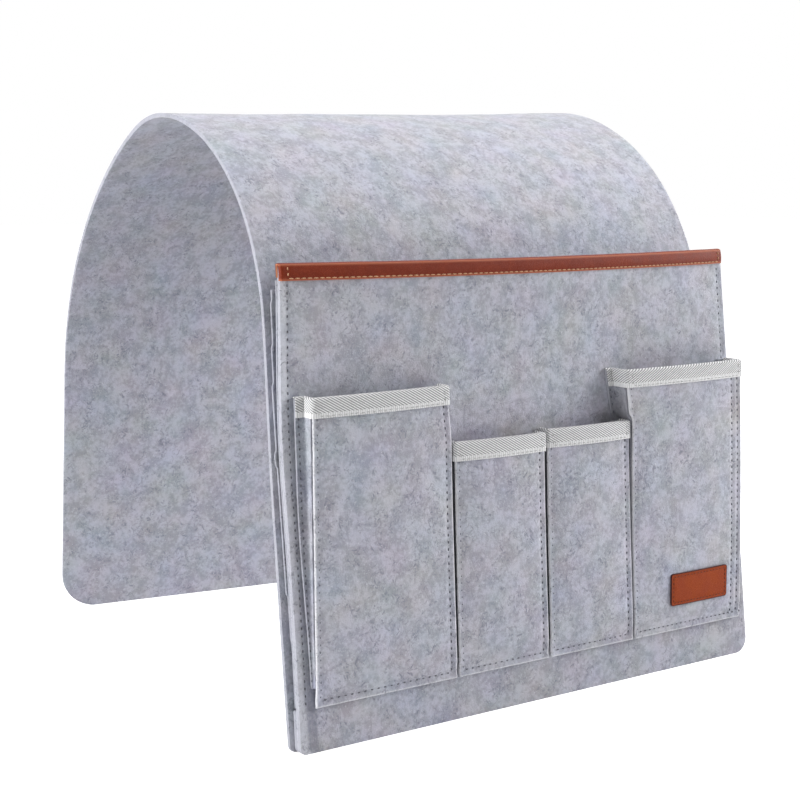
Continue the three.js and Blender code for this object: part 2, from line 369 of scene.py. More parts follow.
@dataclass
class Sheet:
    """A ply of cloth or leather bent over a surface.

    Attributes:
        columns: Places across the sheet.
        rows: Places along the sheet.
        surface: Gives the front face's point at a column and a row.
        thickness: Thickness of the ply, behind its front face.
        rim: Radius that softens the cut rim.
        seams: Rows of stitches on the sheet.
        relief: Height that the whole ply is raised by at a column and a row.
        floor: Whether the sheet stands on the floor, which it can't go below.
        taper: Share of the rectangle's area that the flat cut has.
        fray: How unevenly the rim is cut.
        slant: How far the stitches stand askew.
    """

    columns: Sequence[float]
    rows: Sequence[float]
    surface: Callable[[float, float], Vector]
    thickness: float
    rim: float
    seams: Sequence[Seam] = ()
    relief: Callable[[float, float], float] | None = None
    floor: bool = False
    taper: float = 1.0
    fray: float = 0.0
    slant: Wave = Wave(0.12, 7.0, 3.0)

    def grid(self) -> bmesh.types.BMesh:
        """The sheet's front face as a grid.

        Each vertex keeps its flat place and its distance from the sheet's border.

        Returns:
            A mesh with one layer of faces.
        """
        bm = bmesh.new()
        last_column, last_row = len(self.columns) - 1, len(self.rows) - 1
        bmesh.ops.create_grid(bm, x_segments=last_column, y_segments=last_row, size=0.5)
        flat = bm.verts.layers.float_vector.new("flat")
        border = bm.verts.layers.float.new("border")
        ends = min(self.columns), max(self.columns), min(self.rows), max(self.rows)
        for vert in bm.verts:
            x = self.columns[round((vert.co.x + 0.5) * last_column)]
            z = self.rows[round((vert.co.y + 0.5) * last_row)]
            vert[flat] = Vector((x * MM, z * MM, 0))
            vert[border] = min(x - ends[0], ends[1] - x, z - ends[2], ends[3] - z) * MM
            vert.co = self.surface(x, z)
        bm.normal_update()
        if self.relief:
            for vert in bm.verts:
                x, z, _ = vert[flat] / MM
                vert.co += vert.normal * self.relief(x, z)
            bm.normal_update()
        return bm

    def mesh(self) -> bmesh.types.BMesh:
        """The whole ply: both faces, its soft rim and the grooves of its seams.

        Returns:
            A closed mesh in millimetres.
        """
        bm = self.grid()
        flat = bm.verts.layers.float_vector["flat"]
        count = len(bm.verts)
        bmesh.ops.solidify(bm, geom=bm.faces[:], thickness=self.thickness)
        bm.verts.ensure_lookup_table()
        for vert in bm.verts[count:]:
            vert[flat].z = 1.0
        bm.normal_update()
        for face in Face:
            seams = [seam for seam in self.seams if seam.face is face]
            if not seams:
                continue
            for vert in bm.verts[:]:
                x, z = vert[flat].x / MM, vert[flat].y / MM
                if vert[flat].z == face.value:
                    vert.co -= vert.normal * max(seam.groove(x, z) for seam in seams)
        if self.floor:
            for vert in bm.verts:
                vert.co.z = max(vert.co.z, 0.0)
        rims = [face for face in bm.faces if len({vert[flat].z for vert in face.verts}) > 1]
        edges = {
            edge
            for face in rims
            for edge in face.edges
            if edge.verts[0][flat].z == edge.verts[1][flat].z
        }
        bmesh.ops.bevel(
            bm,
            geom=list(edges),
            offset=self.rim,
            offset_type="OFFSET",
            segments=2,
            profile=0.5,
            affect="EDGES",
            material=-1,
            clamp_overlap=True,
        )
        bmesh.ops.recalc_face_normals(bm, faces=bm.faces[:])
        if self.fray:
            self.roughen(bm)
        return bm

    def roughen(self, bm: bmesh.types.BMesh) -> None:
        """Make the cut rim uneven.

        Args:
            bm: The whole ply, whose rim lies between the depths 0 and 1 of its flat places.
        """
        fine, coarse = 1.7, 4.5
        flat = bm.verts.layers.float_vector["flat"]
        bm.normal_update()
        for vert in bm.verts:
            if 0.02 < vert[flat].z < 0.98:
                cut = noise.noise(vert.co / fine) + 0.6 * noise.noise(vert.co / coarse)
                vert.co += vert.normal * self.fray * cut

    def frame_at(self, x: float, z: float, face: Face) -> tuple[Vector, Vector]:
        """A point of one face and the direction that it looks in.

        Args:
            x: Column.
            z: Row.
            face: Which of the two faces.

        Returns:
            The point and the unit normal, in millimetres.
        """
        step = 0.5
        low, high = min(self.rows), max(self.rows)
        across = self.surface(x + step, z) - self.surface(x - step, z)
        up = self.surface(x, min(z + step, high)) - self.surface(x, max(z - step, low))
        normal = across.cross(up).normalized()
        point = self.surface(x, z)
        if self.relief:
            point += normal * self.relief(x, z)
        if face is Face.BACK:
            return point - normal * self.thickness, -normal
        return point, normal

    def stitches(self) -> bmesh.types.BMesh:
        """The thread of all the sheet's seams.

        Returns:
            A mesh of small capsules lying in the grooves.
        """
        bm = bmesh.new()
        for seam in self.seams:
            thread = seam.thread
            count = max(1, int(seam.length / thread.pitch))
            for i in range(count):
                middle = (i + 0.5) * seam.length / count
                ends = [
                    self.frame_at(*seam.place(middle + half * thread.length / 2), seam.face)[0]
                    for half in (-1, 1)
                ]
                x, z = seam.place(middle)
                centre, out = self.frame_at(x, z, seam.face)
                along = (ends[1] - ends[0]).normalized()
                along = (along + self.slant.at(x, z) * out.cross(along)).normalized()
                side = out.cross(along)
                centre += out * (0.3 * thread.width - seam.groove(x, z))
                turn = Matrix(
                    [along * thread.length, side * thread.width, out * thread.width * 0.9]
                ).transposed()
                shape = Matrix.Translation(centre) @ turn.to_4x4()
                bmesh.ops.create_uvsphere(bm, u_segments=6, v_segments=5, radius=0.5, matrix=shape)
        return bm


@dataclass
class Sections:
    """Lines with equally many points that a sheet runs through, one for each row.

    Attributes:
        lines: The points at each row.
    """

    lines: dict[float, list[Vector]]

    @staticmethod
    def measure(line: Sequence[Vector]) -> list[float]:
        """Measure how far a line's points lie from its start, along the line.

        Args:
            line: The line's points.

        Returns:
            The distance of each.
        """
        found = [0.0]
        for before, after in zip(line, line[1:]):
            found.append(found[-1] + max(0.02, (after - before).length))
        return found

    @cached_property
    def columns(self) -> list[float]:
        """Distances along the longest line."""
        return max((self.measure(line) for line in self.lines.values()), key=lambda m: m[-1])

    @cached_property
    def taper(self) -> float:
        """The lines' mean length as a share of the longest one's."""
        lengths = [self.measure(line)[-1] for line in self.lines.values()]
        return min(1.0, sum(lengths) / len(lengths) / self.columns[-1])

    def point(self, column: float, row: float) -> Vector:
        """A point of the sheet, between its lines where need be.

        Args:
            column: Distance along the longest line.
            row: The sheet's row.

        Returns:
            The point in millimetres.
        """
        rows = sorted(self.lines)
        upper = min(max(bisect_left(rows, row), 1), len(rows) - 1)
        low, high = rows[upper - 1], rows[upper]
        last = len(self.columns) - 1
        right = min(max(bisect_left(self.columns, column), 1), last)
        left = right - 1
        across = (column - self.columns[left]) / (self.columns[right] - self.columns[left])
        along = (row - low) / (high - low)
        ends = [self.lines[z][left].lerp(self.lines[z][right], across) for z in (low, high)]
        return ends[0].lerp(ends[1], clamp(along))


class Graph:
    """A short way to fill a node tree."""

    def __init__(self, tree: bpy.types.NodeTree) -> None:
        """Keep the tree that nodes are added to."""
        self.tree = tree

    def add(self, kind: str, inputs: dict | None = None, **settings) -> bpy.types.Node:
        """Add a node.

        Args:
            kind: The node's type.
            inputs: A value or another node's socket for each input, by name or number.
            **settings: Properties of the node.

        Returns:
            The new node.
        """
        node = self.tree.nodes.new(kind)
        for name, value in settings.items():
            setattr(node, name, value)
        for name, value in (inputs or {}).items():
            if isinstance(value, bpy.types.NodeSocket):
                self.tree.links.new(value, node.inputs[name])
            else:
                node.inputs[name].default_value = value
        return node

    def math(self, operation: str, first: object, second: object = 0.0) -> bpy.types.NodeSocket:
        """Add a Math node and give its result."""
        return self.add("ShaderNodeMath", {0: first, 1: second}, operation=operation).outputs[0]

    def vector(self, operation: str, first: object, second: object) -> bpy.types.NodeSocket:
        """Add a Vector Math node and give its vector; SCALE takes a number as its second."""
        inputs = {0: first, (3 if operation == "SCALE" else 1): second}
        return self.add("ShaderNodeVectorMath", inputs, operation=operation).outputs[0]

    def blend(self, value: object, factor: float, base: float) -> bpy.types.NodeSocket:
        """Multiply a value by a factor and add a base."""
        node = self.add("ShaderNodeMath", {0: value, 1: factor, 2: base}, operation="MULTIPLY_ADD")
        return node.outputs[0]

    def ramp(self, value: object, low: float, high: float) -> bpy.types.NodeSocket:
        """Map a value smoothly to 0 at one limit and 1 at the other.

        Args:
            value: The value.
            low: Where it is mapped to 0.
            high: Where it is mapped to 1, which may be the lower one.

        Returns:
            The mapped value.
        """
        inputs = {0: value, 1: low, 2: high, 3: 0.0, 4: 1.0}
        node = self.add("ShaderNodeMapRange", inputs, interpolation_type="SMOOTHSTEP")
        return node.outputs[0]

    def noise(
        self, vector: object, scale: float, detail: float, coloured: bool = False
    ) -> bpy.types.NodeSocket:
        """Add a noise and give its value, or its colour."""
        inputs = {"Vector": vector, "Scale": scale, "Detail": detail}
        return self.add("ShaderNodeTexNoise", inputs).outputs[1 if coloured else 0]

    def mix(self, share: object, first: object, second: object) -> bpy.types.NodeSocket:
        """Mix two colours.

        Args:
            share: Share of the second colour.
            first: The first colour.
            second: The second colour.

        Returns:
            The mixed colour.
        """
        inputs = {0: share}
        for index, colour in ((6, first), (7, second)):
            linked = isinstance(colour, bpy.types.NodeSocket)
            inputs[index] = colour if linked else (*colour, 1.0)
        return self.add("ShaderNodeMix", inputs, data_type="RGBA").outputs[2]


class Patterns:
    """Node groups that several finishes share, each built once.

    Attributes:
        lay: The directions that the felt's fibres lie in.
    """

    _made: dict[str, bpy.types.NodeTree] = {}
    lay: tuple[Colour, ...] = (
        (0.94, 0.10, 0.33),
        (0.52, 0.15, 0.84),
        (-0.62, 0.10, 0.78),
        (0.12, 0.25, 0.96),
        (0.70, 0.70, -0.12),
        (-0.50, 0.85, 0.16),
    )

    @classmethod
    def _group(cls, name: str, inputs: Iterable[str], outputs: Iterable[str]) -> Graph:
        """Start an empty group.

        Args:
            name: The group's name.
            inputs: Names of its inputs; one named Vector is a vector.
            outputs: Names of its outputs; one named Hue is a colour, the others are numbers.

        Returns:
            The graph to fill.
        """
        tree = bpy.data.node_groups.new(name, "ShaderNodeTree")
        for socket in inputs:
            kind = "NodeSocketVector" if socket == "Vector" else "NodeSocketFloat"
            tree.interface.new_socket(name=socket, in_out="INPUT", socket_type=kind)
        for socket in outputs:
            kind = "NodeSocketColor" if socket == "Hue" else "NodeSocketFloat"
            tree.interface.new_socket(name=socket, in_out="OUTPUT", socket_type=kind)
        cls._made[name] = tree
        return Graph(tree)

    @classmethod
    def place(cls, graph: Graph, name: str, inputs: dict) -> bpy.types.Node:
        """Put a shared group into a material.

        Args:
            graph: The material's graph.
            name: The group's name, also the name of the method that builds it.
            inputs: Values or sockets for the group's inputs.

        Returns:
            The group's node.
        """
        if name not in cls._made:
            getattr(cls, name)()
        return graph.add("ShaderNodeGroup", inputs, node_tree=cls._made[name])

    @classmethod
    def fibres(cls) -> None:
        """Felted wool: soft clumps, curled fibres lying every way, pale specks and fuzz."""
        outputs = ("Clumps", "Fibres", "Specks", "Hue", "Height")
        graph = cls._group("fibres", ("Vector", "Scale"), outputs)
        spot, scale = graph.add("NodeGroupInput").outputs[:2]
        scaled = graph.vector("SCALE", spot, scale)
        wobble = graph.noise(scaled, 230.0, 1.0, coloured=True)
        curled = graph.vector("ADD", scaled, graph.vector("SCALE", wobble, 0.004))
        most: object = 0.0
        for number, direction in enumerate(cls.lay):
            turn = Vector(direction).rotation_difference(Vector((1, 0, 0))).to_euler()
            turned = graph.add(
                "ShaderNodeVectorRotate",
                {"Vector": curled, "Rotation": tuple(turn)},
                rotation_type="EULER_XYZ",
            ).outputs[0]
            apart = graph.vector("ADD", turned, (0.37 * number, 0.11 * number, 0.23 * number))
            drawn = graph.vector("MULTIPLY", apart, (150.0, 560.0, 560.0))
            strand = graph.ramp(graph.noise(drawn, 1.0, 2.0), 0.59, 0.76)
            most = graph.math("MAXIMUM", strand, most)
        tufts = graph.ramp(graph.noise(scaled, 95.0, 2.0), 0.34, 0.62)
        most = graph.math("MULTIPLY", most, tufts)
        clouds = graph.math("MULTIPLY", graph.noise(scaled, 120.0, 3.0), 0.55)
        flecks = graph.math("MULTIPLY", graph.noise(scaled, 430.0, 3.0), 0.45)
        clumps = graph.ramp(graph.math("ADD", clouds, flecks), 0.39, 0.61)
        specks = graph.ramp(graph.noise(scaled, 820.0, 1.0), 0.60, 0.76)
        hue = graph.noise(scaled, 42.0, 3.0, coloured=True)
        fuzz = graph.noise(scaled, 1400.0, 3.0)
        height = graph.math("ADD", graph.math("MULTIPLY", most, 0.4), fuzz)
        graph.add("NodeGroupOutput", dict(enumerate((clumps, most, specks, hue, height))))

    @classmethod
    def grain(cls) -> None:
        """Pressed leather grain: small domed cells between fine creases."""
        graph = cls._group("grain", ("Vector", "Scale"), ("Cells", "Height"))
        spot, scale = graph.add("NodeGroupInput").outputs[:2]
        wobble = graph.noise(spot, 400.0, 2.0, coloured=True)
        place = graph.vector("ADD", spot, graph.vector("SCALE", wobble, 0.0016))
        cells = graph.add(
            "ShaderNodeTexVoronoi", {"Vector": place, "Scale": scale}, feature="DISTANCE_TO_EDGE"
        )
        dome = graph.ramp(cells.outputs[0], 0.0, 0.35)
        fine = graph.noise(spot, 2500.0, 2.0)
        height = graph.math("ADD", dome, graph.math("MULTIPLY", fine, 0.25))
        graph.add("NodeGroupOutput", {0: dome, 1: height})

    @classmethod
    def cut_rim(cls) -> None:
        """The cut rim of a ply, from the flat places that its vertices keep."""
        graph = cls._group("cut_rim", ("Vector",), ("Rim",))
        flat = graph.add("NodeGroupInput").outputs[0]
        depth = graph.add("ShaderNodeSeparateXYZ", {0: flat}).outputs[2]
        other = graph.math("SUBTRACT", 1.0, depth)
        rim = graph.math("MULTIPLY", graph.math("MULTIPLY", depth, other), 4.0)
        graph.add("NodeGroupOutput", {0: graph.ramp(rim, 0.05, 0.7)})


class Finish:
    """What all finishes share: a material with a Principled shader.

    Attributes:
        name: The material's name.
        slot: Name of its material slot.
        gloss: Specular level of the surface.
        bump: Strength of the surface's relief, and its depth in metres.
        sheen: Weight and roughness of the sheen.
    """

    name: str
    slot: str
    gloss: float
    bump: Plan
    sheen: Plan

    def material(self) -> bpy.types.Material:
        """The finish as a material.

        Returns:
            The material, made when it is first asked for.
        """
        made = bpy.data.materials.get(self.name)
        if made is None:
            made = bpy.data.materials.new(self.name)
            made.use_nodes = True
            made.node_tree.nodes.clear()
            graph = Graph(made.node_tree)
            shader = self.shader(graph)
            graph.add("ShaderNodeOutputMaterial", {0: shader.outputs[0]})
        return made

    def shader(self, graph: Graph) -> bpy.types.Node:
        """Fill the material's graph and give its shader node."""
        raise NotImplementedError

    def principled(
        self, graph: Graph, body: object, rough: object, height: object
    ) -> bpy.types.Node:
        """Add the Principled shader and the bump that feeds it.

        Args:
            graph: The material's graph.
            body: The colour.
            rough: The roughness.
            height: Height of the surface's relief.

        Returns:
            The shader's node.
        """
        strength, depth = self.bump
        weight, sheen_rough = self.sheen
        inputs = {"Strength": strength, "Distance": depth, "Height": height}
        relief = graph.add("ShaderNodeBump", inputs)
        return graph.add(
            "ShaderNodeBsdfPrincipled",
            {
                "Base Color": body,
                "Roughness": rough,
                "Specular IOR Level": self.gloss,
                "Sheen Weight": weight,
                "Sheen Roughness": sheen_rough,
                "Normal": relief.outputs[0],
            },
        )

    @staticmethod
    def flat(graph: Graph) -> bpy.types.NodeSocket:
        """The flat place that each vertex of a sheet keeps."""
        node = graph.add("ShaderNodeAttribute", attribute_name="flat", attribute_type="GEOMETRY")
        return node.outputs["Vector"]

    @staticmethod
    def spot(graph: Graph) -> bpy.types.NodeSocket:
        """The place of a point in the whole object."""
        return graph.add("ShaderNodeTexCoord").outputs["Object"]


@dataclass(frozen=True)
class PaintedLightBand:
    """A strip of a sheet with painted light: lighter for a highlight, darker for shade.

    Attributes:
        colour: The tone.
        share: How much of it there is.
        across: Where the strip starts and ends across the sheet, in metres.
        top: Height at which it fades out, in metres.
        soft: How far its sides fade to each side, in metres.
        fade: How far its top fades upwards and downwards, in metres.
    """

    colour: Colour
    share: float
    across: Plan
    top: float = 1.0
    soft: float = 0.0007
    fade: Plan = (0.004, 0.006)


@dataclass(frozen=True)
class FeltFinish(Finish):
    """Heathered grey felt.

    Attributes:
        light: Colour of the pale wool.
        shade: Colour of the clumps.
        fibre: Colour of the dark fibres.
        speck: Colour of the pale specks.
        cut: Colour of the raw cut rim.
        drift: How much the colour drifts from patch to patch.
        wear_and_highlight: How much painted highlight, in the cut rim's colour, shows along the
            border of the faces.
        painted_light_bands: Strips of painted highlight and painted shade.
        margin: How far from the border the painted highlight starts and is full, in metres.
    """

    name: str
    light: Colour = (0.497, 0.504, 0.572)
    shade: Colour = (0.355, 0.360, 0.416)
    fibre: Colour = (0.170, 0.175, 0.225)
    speck: Colour = (0.640, 0.645, 0.690)
    cut: Colour = (0.380, 0.385, 0.440)
    drift: float = 0.15
    wear_and_highlight: float = 0.0
    painted_light_bands: tuple[PaintedLightBand, ...] = ()
    margin: Plan = (0.0013, 0.0005)
    slot: str = "grey_felt"
    gloss: float = 0.12
    bump: Plan = (0.55, 0.0006)
    sheen: Plan = (0.35, 0.55)

    def paint_light_bands(self, graph: Graph, body: bpy.types.NodeSocket) -> bpy.types.NodeSocket:
        """Lay the strips of painted highlight and painted shade over the felt's colour.

        Args:
            graph: The material's graph.
            body: The felt's own colour.

        Returns:
            The colour with the strips.
        """
        place = graph.add("ShaderNodeSeparateXYZ", {0: self.flat(graph)}).outputs
        for painted_band in self.painted_light_bands:
            (start, end), (up, down) = painted_band.across, painted_band.fade
            inside = graph.ramp(place[0], start - painted_band.soft, start + painted_band.soft)
            beyond = graph.ramp(place[0], end + painted_band.soft, end - painted_band.soft)
            below = graph.ramp(place[1], painted_band.top + up, painted_band.top - down)
            mask = graph.math("MULTIPLY", graph.math("MULTIPLY", inside, beyond), below)
            body = graph.mix(graph.math("MULTIPLY", mask, painted_band.share), body, painted_band.colour)
        return body

    def shader(self, graph: Graph) -> bpy.types.Node:
        """Fill the material's graph.

        Args:
            graph: The material's graph, which is empty.

        Returns:
            Its shader node.
        """
        spot = self.spot(graph)
        wool = Patterns.place(graph, "fibres", {"Vector": spot, "Scale": 1.0})
        clumps, strands, specks, hue, height = wool.outputs
        rim = Patterns.place(graph, "cut_rim", {"Vector": self.flat(graph)}).outputs[0]
        body = graph.mix(clumps, self.light, self.shade)
        drift = graph.vector("SUBTRACT", hue, (0.5, 0.5, 0.5))
        drift = graph.vector("MULTIPLY", drift, (0.8 * self.drift, 0.2 * self.drift, self.drift))
        body = graph.vector("ADD", body, drift)
        body = graph.mix(graph.math("MULTIPLY", specks, 0.5), body, self.speck)
        # Painted highlight and painted shade, laid on in strips.
        if self.painted_light_bands:
            body = self.paint_light_bands(graph, body)
        # Painted highlight: a band in the cut rim's colour along the border of the faces, where
        # the edges would catch the light.
        if self.wear_and_highlight:
            away = graph.add("ShaderNodeAttribute", attribute_name="border").outputs["Fac"]
            near = graph.math("MULTIPLY", graph.ramp(away, *self.margin), self.wear_and_highlight)
            rim = graph.math("MAXIMUM", rim, near)
        body = graph.mix(graph.math("MULTIPLY", rim, 0.8), body, self.cut)
        body = graph.mix(graph.math("MULTIPLY", strands, 0.68), body, self.fibre)
        rough = graph.blend(clumps, 0.06, 0.9)
        return self.principled(graph, body, rough, height)


@dataclass(frozen=True)
class LeatherFinish(Finish):
    """Thin artificial leather.

    Attributes:
        body: Colour of the leather.
        wear_and_highlight: Colour of the scuffed patches of the grain, which are real wear.
        cut: Colour of the cut rim.
        rough: Roughness of the surface.
        cells: Number of grain cells in a metre.
        paler_rows: Rows that are paler, each with how far it spreads, in metres.
        pale: Colour of those rows.
        dark_border: Half the width and half the height of the label, round whose border the colour
            darkens.
    """

    name: str
    slot: str
    body: Colour
    wear_and_highlight: Colour
    cut: Colour
    rough: float
    cells: float = 1100.0
    paler_rows: tuple[Plan, ...] = ()
    pale: Colour = (0.5, 0.2, 0.1)
    dark_border: Plan | None = None
    gloss: float = 0.13
    bump: Plan = (0.35, 0.0003)
    sheen: Plan = (0.0, 0.5)

    def shader(self, graph: Graph) -> bpy.types.Node:
        """Fill the material's graph.

        Args:
            graph: The material's graph, which is empty.

        Returns:
            Its shader node.
        """
        spot = self.spot(graph)
        grain = Patterns.place(graph, "grain", {"Vector": spot, "Scale": self.cells})
        rim = Patterns.place(graph, "cut_rim", {"Vector": self.flat(graph)}).outputs[0]
        clouds = graph.ramp(graph.noise(spot, 140.0, 3.0), 0.4, 0.7)
        body = graph.mix(graph.math("MULTIPLY", clouds, 0.5), self.body, self.wear_and_highlight)
        dark = tuple(0.55 * part for part in self.body)
        crease = graph.math("SUBTRACT", 1.0, grain.outputs[0])
        body = graph.mix(graph.math("MULTIPLY", crease, 0.5), body, dark)
        column, row, _ = graph.add("ShaderNodeSeparateXYZ", {0: self.flat(graph)}).outputs
        # Paler along the listed rows, fading out to each side.
        for middle, reach in self.paler_rows:
            off = graph.math("ABSOLUTE", graph.math("SUBTRACT", row, middle))
            near = graph.math("MULTIPLY", graph.ramp(off, reach, 0.0), 0.85)
            body = graph.mix(near, body, self.pale)
        # Darker in a thin band along the label's border, in the cut rim's colour.
        if self.dark_border:
            half_width, half_height = self.dark_border
            across = graph.math("SUBTRACT", graph.math("ABSOLUTE", column), half_width)
            middle = graph.math("SUBTRACT", row, half_height)
            along = graph.math("SUBTRACT", graph.math("ABSOLUTE", middle), half_height)
            border = graph.ramp(graph.math("MAXIMUM", across, along), -0.0009, -0.0001)
            body = graph.mix(border, body, self.cut)
        body = graph.mix(rim, body, self.cut)
        rough = graph.blend(clouds, 0.12, self.rough)
        return self.principled(graph, body, rough, grain.outputs[1])


@dataclass(frozen=True)
class TapeFinish(Finish):
    """Twill tape with a ribbed selvedge along its lower edge.

    Attributes:
        twill: The way that its ribs run.
        yarn: Colour of the yarn's crowns.
        gap: Colour between the yarns.
        dust: Colour of the duller patches.
        rib: Distance between two ribs of the twill along the tape, in metres.
        slope: Distance that a rib runs along the tape for each metre that it climbs.
        selvedge: Height of the selvedge, in metres.
        edge_rib: Distance between two ribs of the selvedge, in metres.
        weft: Distance between two yarns up the tape, in metres.
    """

    name: str
    twill: Twill
    yarn: Colour = (0.84, 0.838, 0.845)
    gap: Colour = (0.18, 0.183, 0.192)
    dust: Colour = (0.62, 0.62, 0.63)
    rib: float = 0.0023
    slope: float = 1.7
    selvedge: float = 0.0027
    edge_rib: float = 0.0013
    weft: float = 0.0007
    slot: str = "woven_tape"
    gloss: float = 0.2
    bump: Plan = (0.7, 0.0004)
    sheen: Plan = (0.15, 0.5)

    def shader(self, graph: Graph) -> bpy.types.Node:
        """Fill the material's graph.

        Args:
            graph: The material's graph, which is empty.

        Returns:
            Its shader node.
        """
        along, up, _ = graph.add("ShaderNodeSeparateXYZ", {0: self.flat(graph)}).outputs
        slant = graph.math("MULTIPLY", up, -self.twill.value * self.slope)
        phase = graph.math("MULTIPLY", graph.math("ADD", along, slant), 2 * math.pi / self.rib)
        ribs = graph.ramp(graph.math("SINE", phase), -1.0, 0.5)
        edge = graph.math("SINE", graph.math("MULTIPLY", along, 2 * math.pi / self.edge_rib))
        edge = graph.blend(graph.ramp(edge, -1.0, 0.6), 0.35, 0.65)
        share = graph.ramp(up, self.selvedge - 0.0002, self.selvedge + 0.0002)
        upper = graph.math("MULTIPLY", ribs, share)
        lower = graph.math("MULTIPLY", edge, graph.math("SUBTRACT", 1.0, share))
        crown = graph.math("ADD", upper, lower)
        yarns = graph.math("SINE", graph.math("MULTIPLY", up, 2 * math.pi / self.weft))
        height = graph.blend(yarns, 0.1, 0.0)
        height = graph.math("ADD", height, crown)
        dust = graph.noise(self.spot(graph), 700.0, 3.0)
        body = graph.mix(crown, self.gap, self.yarn)
        body = graph.mix(graph.math("MULTIPLY", dust, 0.3), body, self.dust)
        return self.principled(graph, body, graph.blend(dust, 0.1, 0.75), height)


@dataclass(frozen=True)
class ThreadFinish(Finish):
    """Twisted sewing thread.

    Attributes:
        light: Colour of the plies' crowns.
        dark: Colour between the plies.
    """

    name: str
    light: Colour
    dark: Colour
    gloss: float = 0.3
    bump: Plan = (0.5, 0.0002)
    sheen: Plan = (0.0, 0.5)

    def shader(self, graph: Graph) -> bpy.types.Node:
        """Fill the material's graph.

        Args:
            graph: The material's graph, which is empty.

        Returns:
            Its shader node.
        """
        twist = graph.add(
            "ShaderNodeTexWave",
            {"Vector": self.spot(graph), "Scale": 700.0, "Distortion": 2.0, "Detail": 1.0},
            bands_direction="DIAGONAL",
        ).outputs[1]
        body = graph.mix(twist, self.dark, self.light)
        return self.principled(graph, body, graph.blend(twist, 0.2, 0.6), twist)


GREY_FELT = FeltFinish("heathered_felt")
# The main pocket's front: a painted highlight on its left margin, and painted shade from the left
# seam to the wallet pocket, as if cast by that pocket, fading out above its mouth.
FRONT_FELT = FeltFinish(
    "front_felt",
    painted_light_bands=(
        PaintedLightBand((0.74, 0.745, 0.80), 0.42, (-0.1620, -0.1563)),
        PaintedLightBand((0.13, 0.133, 0.165), 0.42, (-0.1553, -0.1500), top=0.186),
    ),
)
# The small pockets' fronts: a near-white cut rim and border band, painted highlight on their
# edges.
POCKET_FELT = FeltFinish("pocket_felt", cut=(0.86, 0.86, 0.89), wear_and_highlight=0.7)
# A slightly darker copy of the felt: painted shade for side strips set back beside the fronts.
SOFT_SHADE_FELT = FeltFinish("soft_painted_shade_felt", light=(0.46, 0.466, 0.53), shade=(0.33, 0.335, 0.39))
# Darker copies of the felt: painted shade for the left side strips in the slots between pockets,
# deepest where the slots are narrowest.
MID_SHADE_FELT = FeltFinish(
    "mid_painted_shade_felt",
    light=(0.340, 0.345, 0.395),
    shade=(0.235, 0.238, 0.276),
    speck=(0.300, 0.304, 0.340),
    fibre=(0.080, 0.082, 0.100),
    cut=(0.420, 0.424, 0.480),
    drift=0.06,
)
DEEP_SHADE_FELT = FeltFinish(
    "deep_painted_shade_felt",
    light=(0.080, 0.081, 0.096),
    shade=(0.055, 0.056, 0.067),
    speck=(0.110, 0.112, 0.130),
    fibre=(0.030, 0.031, 0.039),
    cut=(0.060, 0.061, 0.074),
    drift=0.03,
)
BROWN_LEATHER = LeatherFinish(
    "brown_binding_leather",
    "brown_leather",
    body=(0.200, 0.025, 0.007),
    wear_and_highlight=(0.270, 0.042, 0.014),
    cut=(0.60, 0.26, 0.14),
    rough=0.36,
    paler_rows=((0.0, 0.0016), (0.0085, 0.0016)),
    pale=(0.46, 0.150, 0.080),
)
TAN_LEATHER = LeatherFinish(
    "tan_label_leather",
    "tan_leather",
    body=(0.315, 0.046, 0.006),
    wear_and_highlight=(0.380, 0.070, 0.012),
    cut=(0.060, 0.014, 0.012),
    rough=0.5,
    dark_border=(0.0232, 0.00975),
)
RISING_TAPE = TapeFinish("woven_tape_rising", Twill.RISING)
FALLING_TAPE = TapeFinish("woven_tape_falling", Twill.FALLING)
# Darker than the felt: partly the thread's own grey, partly painted shade of the needle holes.
GREY_THREAD = ThreadFinish("grey_thread", light=(0.24, 0.245, 0.28), dark=(0.07, 0.072, 0.085))
PALE_THREAD = ThreadFinish("pale_thread", light=(0.62, 0.62, 0.62), dark=(0.38, 0.38, 0.38))
TAN_THREAD = ThreadFinish("tan_thread", light=(0.72, 0.44, 0.26), dark=(0.42, 0.20, 0.10))
DARK_THREAD = ThreadFinish("dark_thread", light=(0.14, 0.035, 0.02), dark=(0.05, 0.014, 0.01))


